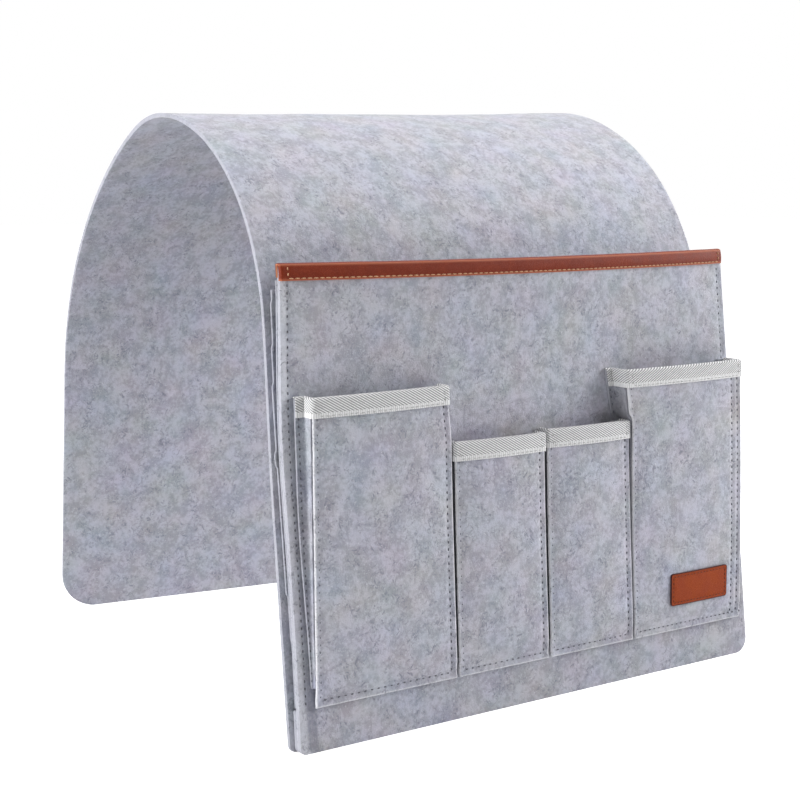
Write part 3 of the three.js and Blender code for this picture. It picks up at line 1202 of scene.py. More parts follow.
@dataclass
class Workbench:
    """Turns finished meshes into the object's pieces.

    Attributes:
        face: The main pocket's front, which sets the middle and the foot of all shapes.
        made: The pieces made so far.
    """

    face: PocketFace = field(default_factory=PocketFace)
    made: list[bpy.types.Object] = field(default_factory=list)

    @cached_property
    def place(self) -> Matrix:
        """The way from millimetres at the pocket's foot to metres in the frame.

        Returns:
            The matrix that every finished mesh is moved by.
        """
        front_low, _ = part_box("main_pocket_front")
        row_low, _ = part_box("wallet_pocket_front")
        middle = row_low[0] - (PocketRow.margin - self.face.width / 2) * MM
        return Matrix.Translation((middle, front_low[1], 0)) @ Matrix.Scale(MM, 4)

    def piece(
        self, name: str, bm: bmesh.types.BMesh, finish: Finish, nodes: Sequence[str] = ()
    ) -> bpy.types.Object:
        """Make an object that rides on the frame.

        Args:
            name: The piece's name.
            bm: Its mesh in millimetres, which is freed.
            finish: Its finish.
            nodes: The CAD nodes that it stands for.

        Returns:
            The new object.
        """
        bmesh.ops.transform(bm, matrix=self.place, verts=bm.verts[:])
        for face in bm.faces:
            face.smooth = True
        mesh = bpy.data.meshes.new(name)
        bm.to_mesh(mesh)
        bm.free()
        mesh.materials.append(finish.material())
        obj = bpy.data.objects.new(name, mesh)
        bpy.context.scene.collection.objects.link(obj)
        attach(obj, BODY)
        if nodes:
            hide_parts(*nodes)
        self.made.append(obj)
        log.info("%s: %d faces", name, len(mesh.polygons))
        return obj

    def sheet(
        self,
        name: str,
        sheet: Sheet,
        finish: Finish,
        nodes: Sequence[str],
        held: str,
        rests_on: Sequence[str] = (),
        thread: Finish = GREY_THREAD,
    ) -> None:
        """Args:
            name: The piece's name.
            sheet: The ply.
            finish: Its finish.
            nodes: The CAD nodes that it stands for.
            held: How the cloth is held; not used.
            rests_on: What it lies on; not used.
            thread: The finish of its stitches.
        """
        width = MM * abs(sheet.columns[-1] - sheet.columns[0])
        height = MM * abs(sheet.rows[-1] - sheet.rows[0])
        obj = self.piece(name, sheet.mesh(), finish, nodes)
        if sheet.seams:
            stitches = self.piece(f"{name}_stitches", sheet.stitches(), thread)
        width * height * sheet.taper


@dataclass
class MainStrip:
    """The long felt strip that is bent over the armrest.

    Attributes:
        bench: Where its pieces are made.
        width: Width of the strip.
        felt: Thickness of the felt.
        play: Distance between plies that are sewn together.
        ply: Thickness that the pressed felt shows at its cut edge.
        front_corners: Radii of the left and right corners at the front foot.
        rear_corner: Radius of the corners at the rear foot.
        step: Distance between two rows or columns of the mesh.
        seam_margin: Distance of the side seams from the strip's edges.
        drift: How far the rear foot stands to the right of the front one.
        splay: How far the lower front leg stands out to the left.
        splay_rows: Where along the strip that starts to fade and has gone.
        seam_rows: Where along the strip the side seams start and end.
        cross_seam: Where along the strip the seam across it runs.
        waves: The felt's slow unevenness.
        left: The strip's left edge.
        right: The strip's right edge, which bends a little differently.
    """

    bench: Workbench
    width: float = 320.0
    felt: float = 3.0
    play: float = 0.3
    ply: float = 2.4
    front_corners: Plan = (3.5, 12.0)
    rear_corner: float = 24.0
    step: float = 3.0
    seam_margin: float = 4.5
    drift: float = 4.0
    splay: float = 1.8
    splay_rows: Plan = (120.0, 235.0)
    seam_rows: Plan = (26.0, 236.0)
    cross_seam: float = 27.5
    waves: tuple[Wave, ...] = (Wave(0.7, 90.0, 1.0), Wave(0.25, 28.0, 2.0))
    left: StripEdge = StripEdge(
        lean=6.6, run=219.7, arcs=((123.5, 79.6), (92.0, 28.3), (223.8, 28.1), (179.3, 30.4))
    )
    right: StripEdge = StripEdge(
        lean=10.2, run=216.4, arcs=((152.3, 72.6), (60.0, 44.5), (175.0, 30.0), (177.0, 23.3))
    )

    @cached_property
    def length(self) -> float:
        """Length of the strip."""
        return (self.left.length + self.right.length) / 2

    def surface(self, x: float, place: float) -> Vector:
        """A point of the outer face.

        Args:
            x: Column, from the strip's middle.
            place: Distance along the strip from the front foot.

        Returns:
            The point in millimetres.
        """
        half = self.width / 2
        share = min(1.0, place / self.length)
        inset = corner_inset(place, self.front_corners[0 if x < 0 else 1])
        inset += corner_inset(self.length - place, self.rear_corner)
        if x < 0:
            inset -= self.splay * (1 - smooth_step(place, *self.splay_rows))
        across = x * (half - inset) / half
        stations = [edge.at(share) for edge in self.edges]
        ends = [middle + out * self.felt / 2 for middle, out in stations]
        point = ends[0].lerp(ends[1], across / self.width + 0.5)
        beyond = max(0.0, place - self.left.run) / (self.length - self.left.run)
        point.x = across + self.drift * beyond
        return point

    def leg_face(self, x: float, z: float) -> float:
        """Where the front leg's outer face is.

        Args:
            x: Place along the armrest.
            z: Height.

        Returns:
            Its Y.
        """
        share = x / self.width + 0.5
        leans = [math.radians(edge.lean) for edge in self.edges]
        sine = math.sin(leans[0]) * (1 - share) + math.sin(leans[1]) * share
        cosine = math.cos(leans[0]) * (1 - share) + math.cos(leans[1]) * share
        return self.left.foot + z * sine / cosine - self.felt / 2 / cosine

    @property
    def edges(self) -> tuple[StripEdge, StripEdge]:
        """The left and the right edge."""
        return self.left, self.right

    def relief(self, x: float, place: float) -> float:
        """The felt's slow unevenness, which dies away at both feet."""
        free = smooth_step(place, 230, 330) * smooth_step(self.length - place, 0, 120)
        return free * Wave.total(self.waves, x, place)

    def build(self) -> None:
        """Make the strip."""
        half, length = self.width / 2, self.length
        front = corner_rows(max(self.front_corners), 10)
        rear = [length - row for row in reversed(corner_rows(self.rear_corner, 14))]
        rows = [*front, *spread(front[-1], rear[0], self.step)[1:-1], *rear]
        edge = half - self.seam_margin
        low, high = self.seam_rows
        seams = [
            Seam((side.value * edge, low), (side.value * edge, high), face=Face.BACK)
            for side in Side
        ]
        seams.append(Seam((-edge, self.cross_seam), (edge, self.cross_seam), face=Face.BACK))
        sheet = Sheet(
            columns=spread(-half, half, self.step),
            rows=rows,
            surface=self.surface,
            thickness=self.ply,
            rim=0.6,
            seams=seams,
            relief=self.relief,
            floor=True,
            fray=0.16,
        )
        self.bench.sheet("felt_strip", sheet, GREY_FELT, ["main_panel"], "draped")


@dataclass
class MainPocket:
    """The large pocket on the strip's front leg: its front, side strips and leather binding.

    Attributes:
        bench: Where its pieces are made.
        strip: The strip that it is sewn to.
        felt: Thickness of its front.
        ply: Thickness of the folded side strips.
        flange: Width of the side strips' sewn flanges.
        hem: Height of the doubled hem.
        left_corner: Radius of the lower left corner.
        right_corner: Radius of the lower right corner.
        seam_margin: Distance of the side seams from the front's edges.
        seam_ends: Distances of the side seams' ends from the foot and from the mouth.
        mouth_gap: How far the front's felt ends below the mouth.
        gusset_ends: Distances of the side strips' ends from the hem and from the mouth.
        bend: Radius of the side strips' folds, where there is room for it.
        swell: How far the left edge stands out from the line between foot and mouth, by height.
        tuck: How far the left edge is drawn in at the foot.
        spring: How far the right edge stands out at the mouth.
        spring_foot: How much further it stands out at the foot.
        spring_rows: Heights where that starts to fade and has gone.
        drop: How much lower the side strips' back plies end at the top.
        leather: Thickness of the binding's leather.
        binding: Height of the binding's flat front.
        binding_foot: How far its lower edge is below the mouth.
        thread: The thread along the binding.
        end_thread: The thread of the short rows at its ends.
        thread_row: Distance of that thread from the lower edge.
        thread_margin: Distance of the short rows from the felt's ends.
        overhang: How far the binding reaches past the felt at each end.
        tilt: How much higher the binding sits on the right end than in the middle.
        waves: The felt's slow unevenness.
        step: Distance between two rows or columns of the mesh.
    """

    bench: Workbench
    strip: MainStrip
    felt: float = 3.0
    ply: float = 1.4
    flange: float = 9.0
    hem: float = 22.0
    left_corner: float = 3.5
    right_corner: float = 9.5
    seam_margin: float = 4.3
    seam_ends: Plan = (24.0, 10.0)
    mouth_gap: float = 2.0
    gusset_ends: Plan = (1.3, 9.3)
    bend: float = 1.2
    swell: Hump = Hump(2.6, 165.0, 60.0)
    tuck: Hump = Hump(1.2, 0.0, 70.0)
    spring: float = 0.8
    spring_foot: float = 2.2
    spring_rows: Plan = (90.0, 190.0)
    drop: float = 5.0
    leather: float = 1.0
    binding: float = 7.9
    binding_foot: float = 9.0
    thread: Thread = Thread(pitch=3.4, length=2.8, width=0.7, sink=0.25, reach=0.8)
    end_thread: Thread = Thread(pitch=2.3, length=1.7, width=0.7, sink=0.25, reach=0.8)
    thread_row: float = 1.2
    thread_margin: float = 3.0
    overhang: float = 1.2
    tilt: float = 0.5
    waves: tuple[Wave, ...] = (Wave(0.35, 60.0, 5.0), Wave(0.15, 22.0, 6.0))
    step: float = 2.0

    def half_width(self, side: Side, z: float) -> float:
        """How far one of the front's side edges is from the middle.

        Args:
            side: Which of the two edges.
            z: Height.

        Returns:
            The distance, which is positive on both sides.
        """
        half = self.bench.face.half_width(z)
        if side is Side.LEFT:
            half += self.swell.at(z)
            half -= self.tuck.at(z)
        else:
            half += self.spring + self.spring_foot * (1 - smooth_step(z, *self.spring_rows))
        return half

    def surface(self, x: float, z: float) -> Vector:
        """A point of the front face, drawn in round the lower corners.

        Args:
            x: Column, from the pocket's middle.
            z: Height.

        Returns:
            The point in millimetres.
        """
        face = self.bench.face
        left = self.half_width(Side.LEFT, z) - corner_inset(z, self.left_corner)
        right = self.half_width(Side.RIGHT, z) - corner_inset(z, self.right_corner)
        full = face.width / 2
        return face.point((left if x < 0 else right) * x / full, z)

    def relief(self, x: float, z: float) -> float:
        """The felt's slow unevenness."""
        free = smooth_step(z, 5, 60)
        return free * Wave.total(self.waves, x, z)

    def build(self) -> None:
        """Make the pocket's pieces."""
        self.build_front()
        for side in Side:
            self.build_gusset(side)
        self.build_binding()

    def build_front(self) -> None:
        """Make the pocket's front and the second ply of its hem."""
        face = self.bench.face
        half, edge = face.width / 2, face.width / 2 - self.seam_margin
        corner = corner_rows(self.right_corner, 10)
        rows = [*corner, *spread(corner[-1], face.height - self.mouth_gap, self.step)[1:]]
        low, high = self.seam_ends[0], face.height - self.seam_ends[1]
        seams = [Seam((side.value * edge, low), (side.value * edge, high)) for side in Side]
        sheet = Sheet(
            columns=spread(-half, half, self.step),
            rows=rows,
            surface=self.surface,
            thickness=self.felt,
            rim=0.9,
            seams=seams,
            relief=self.relief,
            floor=True,
            fray=0.2,
        )
        self.bench.sheet(
            "main_pocket_felt", sheet, FRONT_FELT, ["main_pocket_front"], "hung", ["felt_strip"]
        )
        apart = 0.05
        hem = Sheet(
            columns=spread(-half, half, 2 * self.step),
            rows=[*corner, *spread(corner[-1], self.hem, self.step)[1:]],
            surface=lambda x, z: self.surface(x, z) + Vector((0, self.felt + apart, 0)),
            thickness=self.felt - apart,
            rim=0.7,
            floor=True,
            fray=0.2,
        )
        self.bench.sheet("main_pocket_hem", hem, GREY_FELT, [], "folded", ["felt_strip"])

    @property
    def gusset_rows(self) -> Plan:
        """Lowest and highest row of the side strips."""
        foot, head = self.gusset_ends
        return self.hem + foot, self.bench.face.height - head

    def gusset_section(self, side: Side, z: float) -> list[Vector]:
        """Where a side strip runs at a height.

        Args:
            side: Which of the two strips.
            z: Height at the front ply.

        Returns:
            Points of its outer face, from the free edge of one ply to that of the other.
        """
        face, sign, play = self.bench.face, side.value, self.strip.play
        bottom, top = self.gusset_rows
        drop = self.drop * (z - bottom) / (top - bottom)
        edge = sign * self.half_width(side, z)
        back_edge = sign * min(self.strip.width / 2, face.half_width(z) + face.draw_in)
        fold = edge - sign * (self.flange - self.ply)
        front = face.point(edge, z, self.felt + play + self.ply)
        near = self.strip.leg_face(fold, z - drop) - play - self.ply
        gap = max(0.4, near - front.y)
        bend = min(self.bend, gap / 2)
        step = 1.2
        points = []
        for x in spread(edge, fold + sign * bend, step):
            points.append(face.point(x, z, self.felt + play + self.ply))
        web_front = face.point(fold, z, self.felt + play + self.ply)
        web_back = Vector((fold, near, z - drop))
        for share in (0.15, 0.3, 0.5, 0.7, 0.85):
            turn = math.pi * (share - 0.5)
            bulge = math.cos(turn) * bend * -sign
            points.append(web_front.lerp(web_back, share) + Vector((bulge * 0.5, 0, 0)))
        for x in spread(fold + sign * bend, back_edge, step):
            level = self.strip.leg_face(x, z - drop) - play - self.ply
            points.append(Vector((x, level, z - drop)))
        return points

    def build_gusset(self, side: Side) -> None:
        """Make one folded side strip, which opens to the side.

        Args:
            side: Which of the two strips.
        """
        rows = spread(*self.gusset_rows, 2.5)
        lines = {row: self.gusset_section(side, row) for row in rows}
        count = min(len(line) for line in lines.values())
        if side is Side.LEFT:
            lines = {row: line[count - 1 :: -1] for row, line in lines.items()}
        sections = Sections({row: line[:count] for row, line in lines.items()})
        sheet = Sheet(
            columns=sections.columns,
            rows=rows,
            surface=sections.point,
            thickness=self.ply,
            rim=0.35,
            taper=sections.taper,
            fray=0.12,
        )
        name = side.name.lower()
        self.bench.sheet(
            f"main_pocket_side_strip_{name}",
            sheet,
            SOFT_SHADE_FELT,
            [f"main_pocket_gusset_{name}"],
            "folded",
            ["felt_strip", "main_pocket_felt"],
        )

    def build_binding(self) -> None:
        """Make the leather folded over the mouth, with its thread."""
        face, play = self.bench.face, self.strip.play
        out = play + self.leather
        radius = self.felt / 2 + out
        felt_end = face.half_width(face.height)
        half = felt_end + self.overhang
        low = face.height - self.binding_foot
        arc = math.pi * radius
        turn_start, turn_end = self.binding, self.binding + arc

        def surface(x: float, q: float) -> Vector:
            """A point of the leather's outer face.

            Args:
                x: Column, from the pocket's middle.
                q: Distance up the front, over the mouth and down again.

            Returns:
                The point in millimetres.
            """
            past = max(0.0, abs(x) - felt_end) / self.overhang
            reach = radius * (1 - 0.6 * past * past)
            lift = self.tilt * x / half
            if q <= turn_start:
                bulge = 0.45 * math.sin(math.pi * q / self.binding)
                return face.point(x, low + q + lift, self.felt / 2 - reach - bulge)
            if q < turn_end:
                turn = (q - turn_start) / radius
                top = face.point(
                    x, low + turn_start + lift, self.felt / 2 - reach * math.cos(turn)
                )
                return top + Vector((0, 0, math.sin(turn) * (1 - 0.3 * past)))
            return face.point(x, low + turn_start + lift - (q - turn_end), self.felt / 2 + reach)

        rows = [
            *spread(0, turn_start, 1.0),
            *spread(turn_start, turn_end, 0.7)[1:],
            *spread(turn_end, turn_end + self.binding - 1.5, 1.5)[1:],
        ]
        end = spread(felt_end, half, 0.3)
        columns = [*(-x for x in reversed(end)), *spread(-felt_end, felt_end, 1.6)[1:-1], *end]
        row, last = self.thread_row, felt_end - self.thread_margin
        seams = [Seam((-last, row), (last, row), self.thread)]
        for side in Side:
            x = side.value * last
            seams.append(Seam((x, row + 0.6), (x, self.binding - 0.3), self.end_thread))
        sheet = Sheet(
            columns=columns,
            rows=rows,
            surface=surface,
            thickness=self.leather,
            rim=0.3,
            seams=seams,
            relief=Wave(0.1, 18.0, 9.0).at,
        )
        self.bench.sheet(
            "mouth_binding_leather",
            sheet,
            BROWN_LEATHER,
            ["mouth_binding"],
            "folded",
            ["main_pocket_felt"],
            TAN_THREAD,
        )


@dataclass(frozen=True)
class PocketSize:
    """The sizes of one small pocket.

    Attributes:
        name: The pocket's name in the frame.
        width: Width of its front at the foot.
        height: Height of its front.
        depth: Depth at the mouth.
        flare: How far the left edge moves out by the mouth, negative where it is drawn in.
        flare_from: Height above the foot where that starts.
        hop: How far the left edge stands out in one step, where it passes its neighbour's mouth.
        hop_at: Height above the foot of that step's middle.
        hollow: How much flatter the pocket is at half its height than a straight wedge.
        droop: How much lower the mouth's left end hangs.
        shifts: How far the left and right edge stand to the right, each at foot and mouth.
        kick: How far the right edge springs out below the mouth.
        swell: How far the right edge stands out halfway up.
        right_seams: Distances of the right-hand seams from the right edge.
        flange: Width of a side strip's flange at the mouth.
        tape: The finish of its tape.
        folds: The finish of its left side strip, a copy of the felt darkened as painted shade.
    """

    name: str
    width: float
    height: float
    depth: float
    flare: float = 0.0
    flare_from: float = 0.0
    hop: float = 0.0
    hop_at: float = 0.0
    hollow: float = 0.0
    droop: float = 0.0
    shifts: tuple[Plan, Plan] = ((0.0, 0.0), (0.0, 0.0))
    kick: float = 0.0
    swell: float = 0.0
    right_seams: tuple[float, ...] = (3.5,)
    flange: float = 5.4
    tape: TapeFinish = FALLING_TAPE
    folds: FeltFinish = MID_SHADE_FELT


@dataclass
class SmallPocket:
    """A small felt pocket on the main pocket's front.

    Attributes:
        bench: Where its pieces are made.
        left: X of its left edge at the foot.
        size: Its sizes.
        outward: Whether the left side strip's flange turns outwards.
        clear_of: Height up to which a neighbour leaves that flange little room.
        seed: Changes the felt's unevenness.
        bottom: Height of the row of pockets.
        felt: Thickness of the front.
        ply: Thickness of the side strips.
        play: Distance between plies that are sewn together.
        seam_ply: Thickness of what is folded under the bottom seam.
        crown: How far the middle of the front swells.
        crown_turn: Degrees of a sine that the swelling follows from foot to mouth.
        pinch: How far the bottom seam pulls the front in, by height above the foot.
        side_ridge: The soft ridge along each side edge, by distance from it.
        foot_ridge: The soft ridge along the foot, by height.
        hop_reach: How far the left edge's step spreads above and below its middle.
        kick_rows: How far below the mouth the right edge starts to spring out and is out.
        droop_row: How far below the mouth its left end starts to hang.
        gusset_foot: Height above the foot where the side strips end.
        flange_least: Width of the outward flange at the foot.
        flange_tight: Its width where a neighbour leaves it little room.
        flange_fade: Height above the foot at which it has its full width.
        tape: Thickness of the tape.
        tape_height: Height of the tape.
        tape_turn: Length of the tape over the mouth's edge.
        tape_short: How much less high the tape is inside the pocket.
        tape_thread: The thread that the tape is sewn with.
        tape_corner: Distance of its upright seams from the pocket's edges.
        seam_margin: Distance of the left seam from the left edge.
        seam_ends: Distances of the seams' ends from the foot and from the mouth.
        seam_corner: Distance of the bottom seam's ends from the pocket's edges.
        faint: The thread of the left seam, which lies half hidden in the felt.
        step: Distance between two rows or columns of the mesh.
    """

    bench: Workbench
    left: float
    size: PocketSize
    outward: bool
    clear_of: float = 0.0
    seed: float = 0.0
    bottom: float = 23.5
    felt: float = 2.0
    ply: float = 1.5
    play: float = 0.3
    seam_ply: float = 1.5
    crown: float = 2.5
    crown_turn: float = 135.0
    pinch: Hump = Hump(0.9, 2.5, 5.0)
    side_ridge: Hump = Hump(0.35, 1.6, 1.1)
    foot_ridge: Hump = Hump(0.4, 1.3, 1.0)
    hop_reach: float = 3.0
    kick_rows: Plan = (4.0, 34.0)
    droop_row: float = 60.0
    gusset_foot: float = 10.3
    flange_least: float = 1.2
    flange_tight: float = 1.15
    flange_fade: float = 110.0
    tape: float = 0.6
    tape_height: float = 9.5
    tape_turn: float = 3.0
    tape_short: float = 1.5
    tape_thread: Thread = Thread(pitch=3.2, length=2.2, width=0.55, sink=0.3, reach=0.9)
    tape_corner: float = 3.4
    seam_margin: float = 2.6
    seam_ends: Plan = (3.6, 0.8)
    seam_corner: float = 3.5
    faint: Thread = Thread(length=1.1, width=0.5, sink=0.6, reach=1.2)
    step: float = 1.3

    @property
    def name(self) -> str:
        """The pocket's name in the frame."""
        return self.size.name

    @property
    def right(self) -> float:
        """X of the right edge."""
        return self.left + self.size.width

    @property
    def top(self) -> float:
        """Height of the mouth."""
        return self.bottom + self.size.height

    @property
    def outmost(self) -> float:
        """X of the left edge where it stands furthest out."""
        return min(self.left_at(self.bottom), self.left_at(self.top))

    def left_at(self, z: float) -> float:
        """Where the left edge is.

        Args:
            z: Height.

        Returns:
            Its X.
        """
        size, reach = self.size, self.hop_reach
        up = z - self.bottom
        above = max(0.0, up - size.flare_from)
        step = size.hop * smooth_step(up, size.hop_at - reach, size.hop_at + reach)
        return self.left - step - size.flare * above / (size.height - size.flare_from)

    def spot(self, x: float, z: float, out: float) -> Vector:
        """A point in front of the main pocket's face, moved as the sewn pocket is distorted.

        Args:
            x: Place along the armrest before it is moved.
            z: Height before it is moved.
            out: Distance in front of the face.

        Returns:
            The point in millimetres.
        """
        size = self.size
        share = clamp((self.right - x) / size.width)
        up = clamp((z - self.bottom) / size.height)
        left, right = (foot + (mouth - foot) * up for foot, mouth in size.shifts)
        right += size.kick * smooth_step(self.top - z, *self.kick_rows) * up
        right += size.swell * math.sin(math.pi * up)
        fall = size.droop * share * smooth_step(z, self.top - self.droop_row, self.top)
        x += left * share + right * (1 - share)
        return self.bench.face.point(x, z - fall, -out)

    def cavity(self, x: float, z: float) -> float:
        """How far the front's inner face is from the main pocket's front.

        Args:
            x: Place along the armrest.
            z: Height.

        Returns:
            The distance.
        """
        share = (z - self.bottom) / self.size.height
        start = self.play + self.seam_ply
        flat_depth = start + (self.size.depth - self.felt - start) * share
        flat_depth -= self.size.hollow * math.sin(math.pi * clamp(share))
        left = self.left_at(z)
        across = 2 * (x - left) / (self.right - left) - 1
        swell = math.sin(math.radians(self.crown_turn) * clamp(share))
        return flat_depth + self.crown * swell * (1 - across * across)

    def reach(self, x: float, z: float) -> float:
        """Distance of the front's outer face from the main pocket's front."""
        return self.cavity(x, z) + self.felt - self.pinch.at(z - self.bottom)

    def front_surface(self, column: float, z: float) -> Vector:
        """A point of the front's outer face, whose columns run closer where it is narrower.

        Args:
            column: Column, which is the X that it has where the front is widest.
            z: Height.

        Returns:
            The point in millimetres.
        """
        share = (self.right - column) / (self.right - self.outmost)
        x = self.right - share * (self.right - self.left_at(z))
        return self.spot(x, z, self.reach(x, z))

    def front_relief(self, x: float, z: float) -> float:
        """The felt's unevenness and the soft ridges along its edges.

        Args:
            x: Column.
            z: Height.

        Returns:
            Height that the front is raised by.
        """
        from_edge = min(x - self.outmost, self.right - x)
        ridge = self.side_ridge.at(from_edge)
        ridge += self.foot_ridge.at(z - self.bottom)
        free = smooth_step(z, self.bottom, self.bottom + 25)
        free *= smooth_step(from_edge, 2, 15)
        waves = Wave(0.30, 34.0, self.seed), Wave(0.12, 13.0, self.seed + 4)
        return ridge + free * Wave.total(waves, x, z)

    def front(self) -> Sheet:
        """The pocket's front with its seams.

        Returns:
            The sheet.
        """
        low, high = self.bottom + self.seam_ends[0], self.top - self.seam_ends[1]
        left = self.outmost
        places = [self.right - inset for inset in self.size.right_seams]
        seams = [Seam((x, low), (x, high)) for x in places]
        near = left + self.seam_margin
        seams.append(Seam((near, low), (near, high), self.faint))
        corner = self.seam_corner
        seams.append(Seam((left + corner, low), (self.right - corner, low)))
        rows = spread(self.bottom, self.top, self.step)
        mean = sum(self.right - self.left_at(z) for z in rows) / len(rows)
        return Sheet(
            columns=spread(left, self.right, self.step),
            rows=rows,
            surface=self.front_surface,
            thickness=self.felt,
            rim=0.65,
            seams=seams,
            relief=self.front_relief,
            taper=mean / (self.right - left),
            fray=0.14,
        )

    def flange_at(self, z: float) -> float:
        """Width of the outward flange, which runs out towards the foot.

        Args:
            z: Height.

        Returns:
            The width.
        """
        if z < self.clear_of:
            return self.flange_tight
        share = smooth_step(z, self.bottom, self.bottom + self.flange_fade)
        return self.flange_least + (self.size.flange - self.flange_least) * share

    def gusset_plan(self, side: Side, z: float) -> list[Plan]:
        """Where a side strip's outer face runs at a height.

        Args:
            side: Which of the two strips.
            z: Height.

        Returns:
            X and distance in front of the main pocket, from the flange's tip to the front.
        """
        sign = side.value
        edge = self.left_at(z) if side is Side.LEFT else self.right
        far = self.cavity(edge - sign * self.ply, z) - self.play
        outward = self.outward and side is Side.LEFT
        bend = 1.0
        if outward:
            near = self.play + self.ply
            tip = edge + sign * self.flange_at(z)
        else:
            near = self.play
            tip = edge - sign * (self.ply + self.size.flange)
        heel = sign if outward else -sign
        start = edge + heel * bend
        points = [(x, near) for x in even(tip, start, 4)]
        for turn in (30, 60):
            back = math.radians(turn)
            points.append(
                (start - heel * bend * math.sin(back), near + bend * (1 - math.cos(back)))
            )
        root = near + bend
        points += [(edge, root + max(0.2, far - root) * i / 6) for i in range(7)]
        return points

    def gusset(self, side: Side) -> Sheet:
        """One side strip: a web to the front, and a flange sewn to the main pocket.

        Args:
            side: Which of the two strips.

        Returns:
            The sheet.
        """
        low, high, step = self.bottom + self.gusset_foot, self.top, 2.0
        outward = self.outward and side is Side.LEFT
        rows = spread(low, high, step)
        if outward and low < self.clear_of < high:
            rows = [*spread(low, self.clear_of, step), *spread(self.clear_of + 0.6, high, step)]
        lines = {}
        for z in rows:
            plan = self.gusset_plan(side, z)
            ordered = plan if side is Side.LEFT else plan[::-1]
            lines[z] = [self.spot(x, z, out) for x, out in ordered]
        sections = Sections(lines)
        seams = []
        if outward:
            start = max(low, self.clear_of) + 2
            inside = sections.columns[2]
            seams.append(Seam((inside, start), (inside, high - 1)))
        return Sheet(
            columns=sections.columns,
            rows=rows,
            surface=sections.point,
            thickness=self.ply,
            rim=0.35,
            seams=seams,
            taper=sections.taper,
            fray=0.1,
        )

    def wall(self, z: float, inner: bool) -> list[Plan]:
        """Plan of the pocket's wall at a height, from the left side strip round to the right.

        Args:
            z: Height.
            inner: Whether the inside of the wall is wanted.

        Returns:
            X and distance in front of the main pocket.
        """
        thin = self.ply if inner else 0.0
        edge = self.left_at(z)
        left, right = edge + thin, self.right - thin
        bend = 0.4 if inner else 1.3

        def out(x: float) -> float:
            """Distance of the front's wanted face."""
            return self.cavity(x, z) if inner else self.cavity(x, z) + self.felt + 0.25

        def turned(side: Side, middle: float, corner: float) -> list[Plan]:
            """Go round the corner between a side and the front.

            Args:
                side: Which of the two sides.
                middle: X of the corner's centre.
                corner: Distance of its centre in front of the main pocket.

            Returns:
                Points from the side to the front.
            """
            sign = side.value
            angles = [math.radians(turn) for turn in (22.5, 45, 67.5)]
            return [
                (middle + sign * bend * math.cos(angle), corner + bend * math.sin(angle))
                for angle in angles
            ]

        points = []
        root = 0.15 if inner else self.play + self.ply
        clear = self.play + self.ply + 0.4
        if self.outward:
            tip = edge - self.flange_at(self.top)
            points += [(x, root) for x in even(tip, left, 4)[:-1]]
        near, far = left + bend, right - bend
        corner = out(near) - bend
        points += [(left, depth) for depth in even(root if self.outward else clear, corner, 6)]
        points += turned(Side.LEFT, near, corner)
        count = math.ceil(self.size.width / 2.0)
        across = [near + (right - left - 2 * bend) * i / count for i in range(count + 1)]
        points += [(x, out(x)) for x in across]
        corner = out(far) - bend
        points += turned(Side.RIGHT, far, corner)[::-1]
        points += [(right, depth) for depth in even(corner, clear, 6)]
        return points

    @staticmethod
    def offset(points: Sequence[Plan], amount: float) -> list[Plan]:
        """Move a plan line sideways.

        Args:
            points: The line's points.
            amount: How far, to the outside where it is positive.

        Returns:
            The moved points.
        """
        moved = []
        for i, (x, out) in enumerate(points):
            (x0, out0), (x1, out1) = points[max(i - 1, 0)], points[min(i + 1, len(points) - 1)]
            length = math.hypot(x1 - x0, out1 - out0) or 1.0
            moved.append((x - amount * (out1 - out0) / length, out + amount * (x1 - x0) / length))
        return moved

    def binding(self) -> Sheet:
        """The tape folded over the top of the two side strips and the front.

        Returns:
            The sheet.
        """
        lift = self.play + self.tape
        foot = self.top - self.tape_height
        up, over, down = self.tape_height, self.tape_turn, self.tape_height - self.tape_short
        rows = [*spread(0, up, 1.0), *spread(up, up + over, 0.6)[1:]]
        rows += spread(up + over, up + over + down, 2.0)[1:]

        def line(q: float) -> list[Vector]:
            """The tape's outer face along one of its threads.

            Args:
                q: Distance up the front, over the mouth and down again.

            Returns:
                Points from the left side strip round to the right one.
            """
            if q <= up:
                z = foot + q
                return [self.spot(x, z, out) for x, out in self.offset(self.wall(z, False), lift)]
            if q < up + over:
                turn = math.pi * (q - up) / over
                outer = self.offset(self.wall(self.top, False), lift)
                inner = self.offset(self.wall(self.top, True), -lift)
                share = (1 - math.cos(turn)) / 2
                rise = Vector((0, 0, 1.1 * math.sin(turn)))
                return [
                    self.spot(a[0] + (b[0] - a[0]) * share, self.top, a[1] + (b[1] - a[1]) * share)
                    + rise
                    for a, b in zip(outer, inner, strict=True)
                ]
            z = self.top - (q - up - over)
            return [self.spot(x, z, out) for x, out in self.offset(self.wall(z, True), -lift)]

        sections = Sections({row: line(row) for row in rows})
        plan, columns = sections.lines[rows[0]], sections.columns
        corners = []
        for x in (self.left_at(foot) + self.tape_corner, self.right - self.tape_corner):
            corner = self.spot(x, foot, self.reach(x, foot))
            nearest = min(range(len(plan)), key=lambda i: (plan[i] - corner).length)
            corners.append(columns[nearest])
        seams = [Seam((x, 1.0), (x, up - 0.5), self.tape_thread) for x in corners]
        seams.append(Seam((corners[0], 1.1), (corners[1], 1.1), self.tape_thread))
        return Sheet(
            columns=columns,
            rows=rows,
            surface=sections.point,
            thickness=self.tape,
            rim=0.15,
            seams=seams,
        )

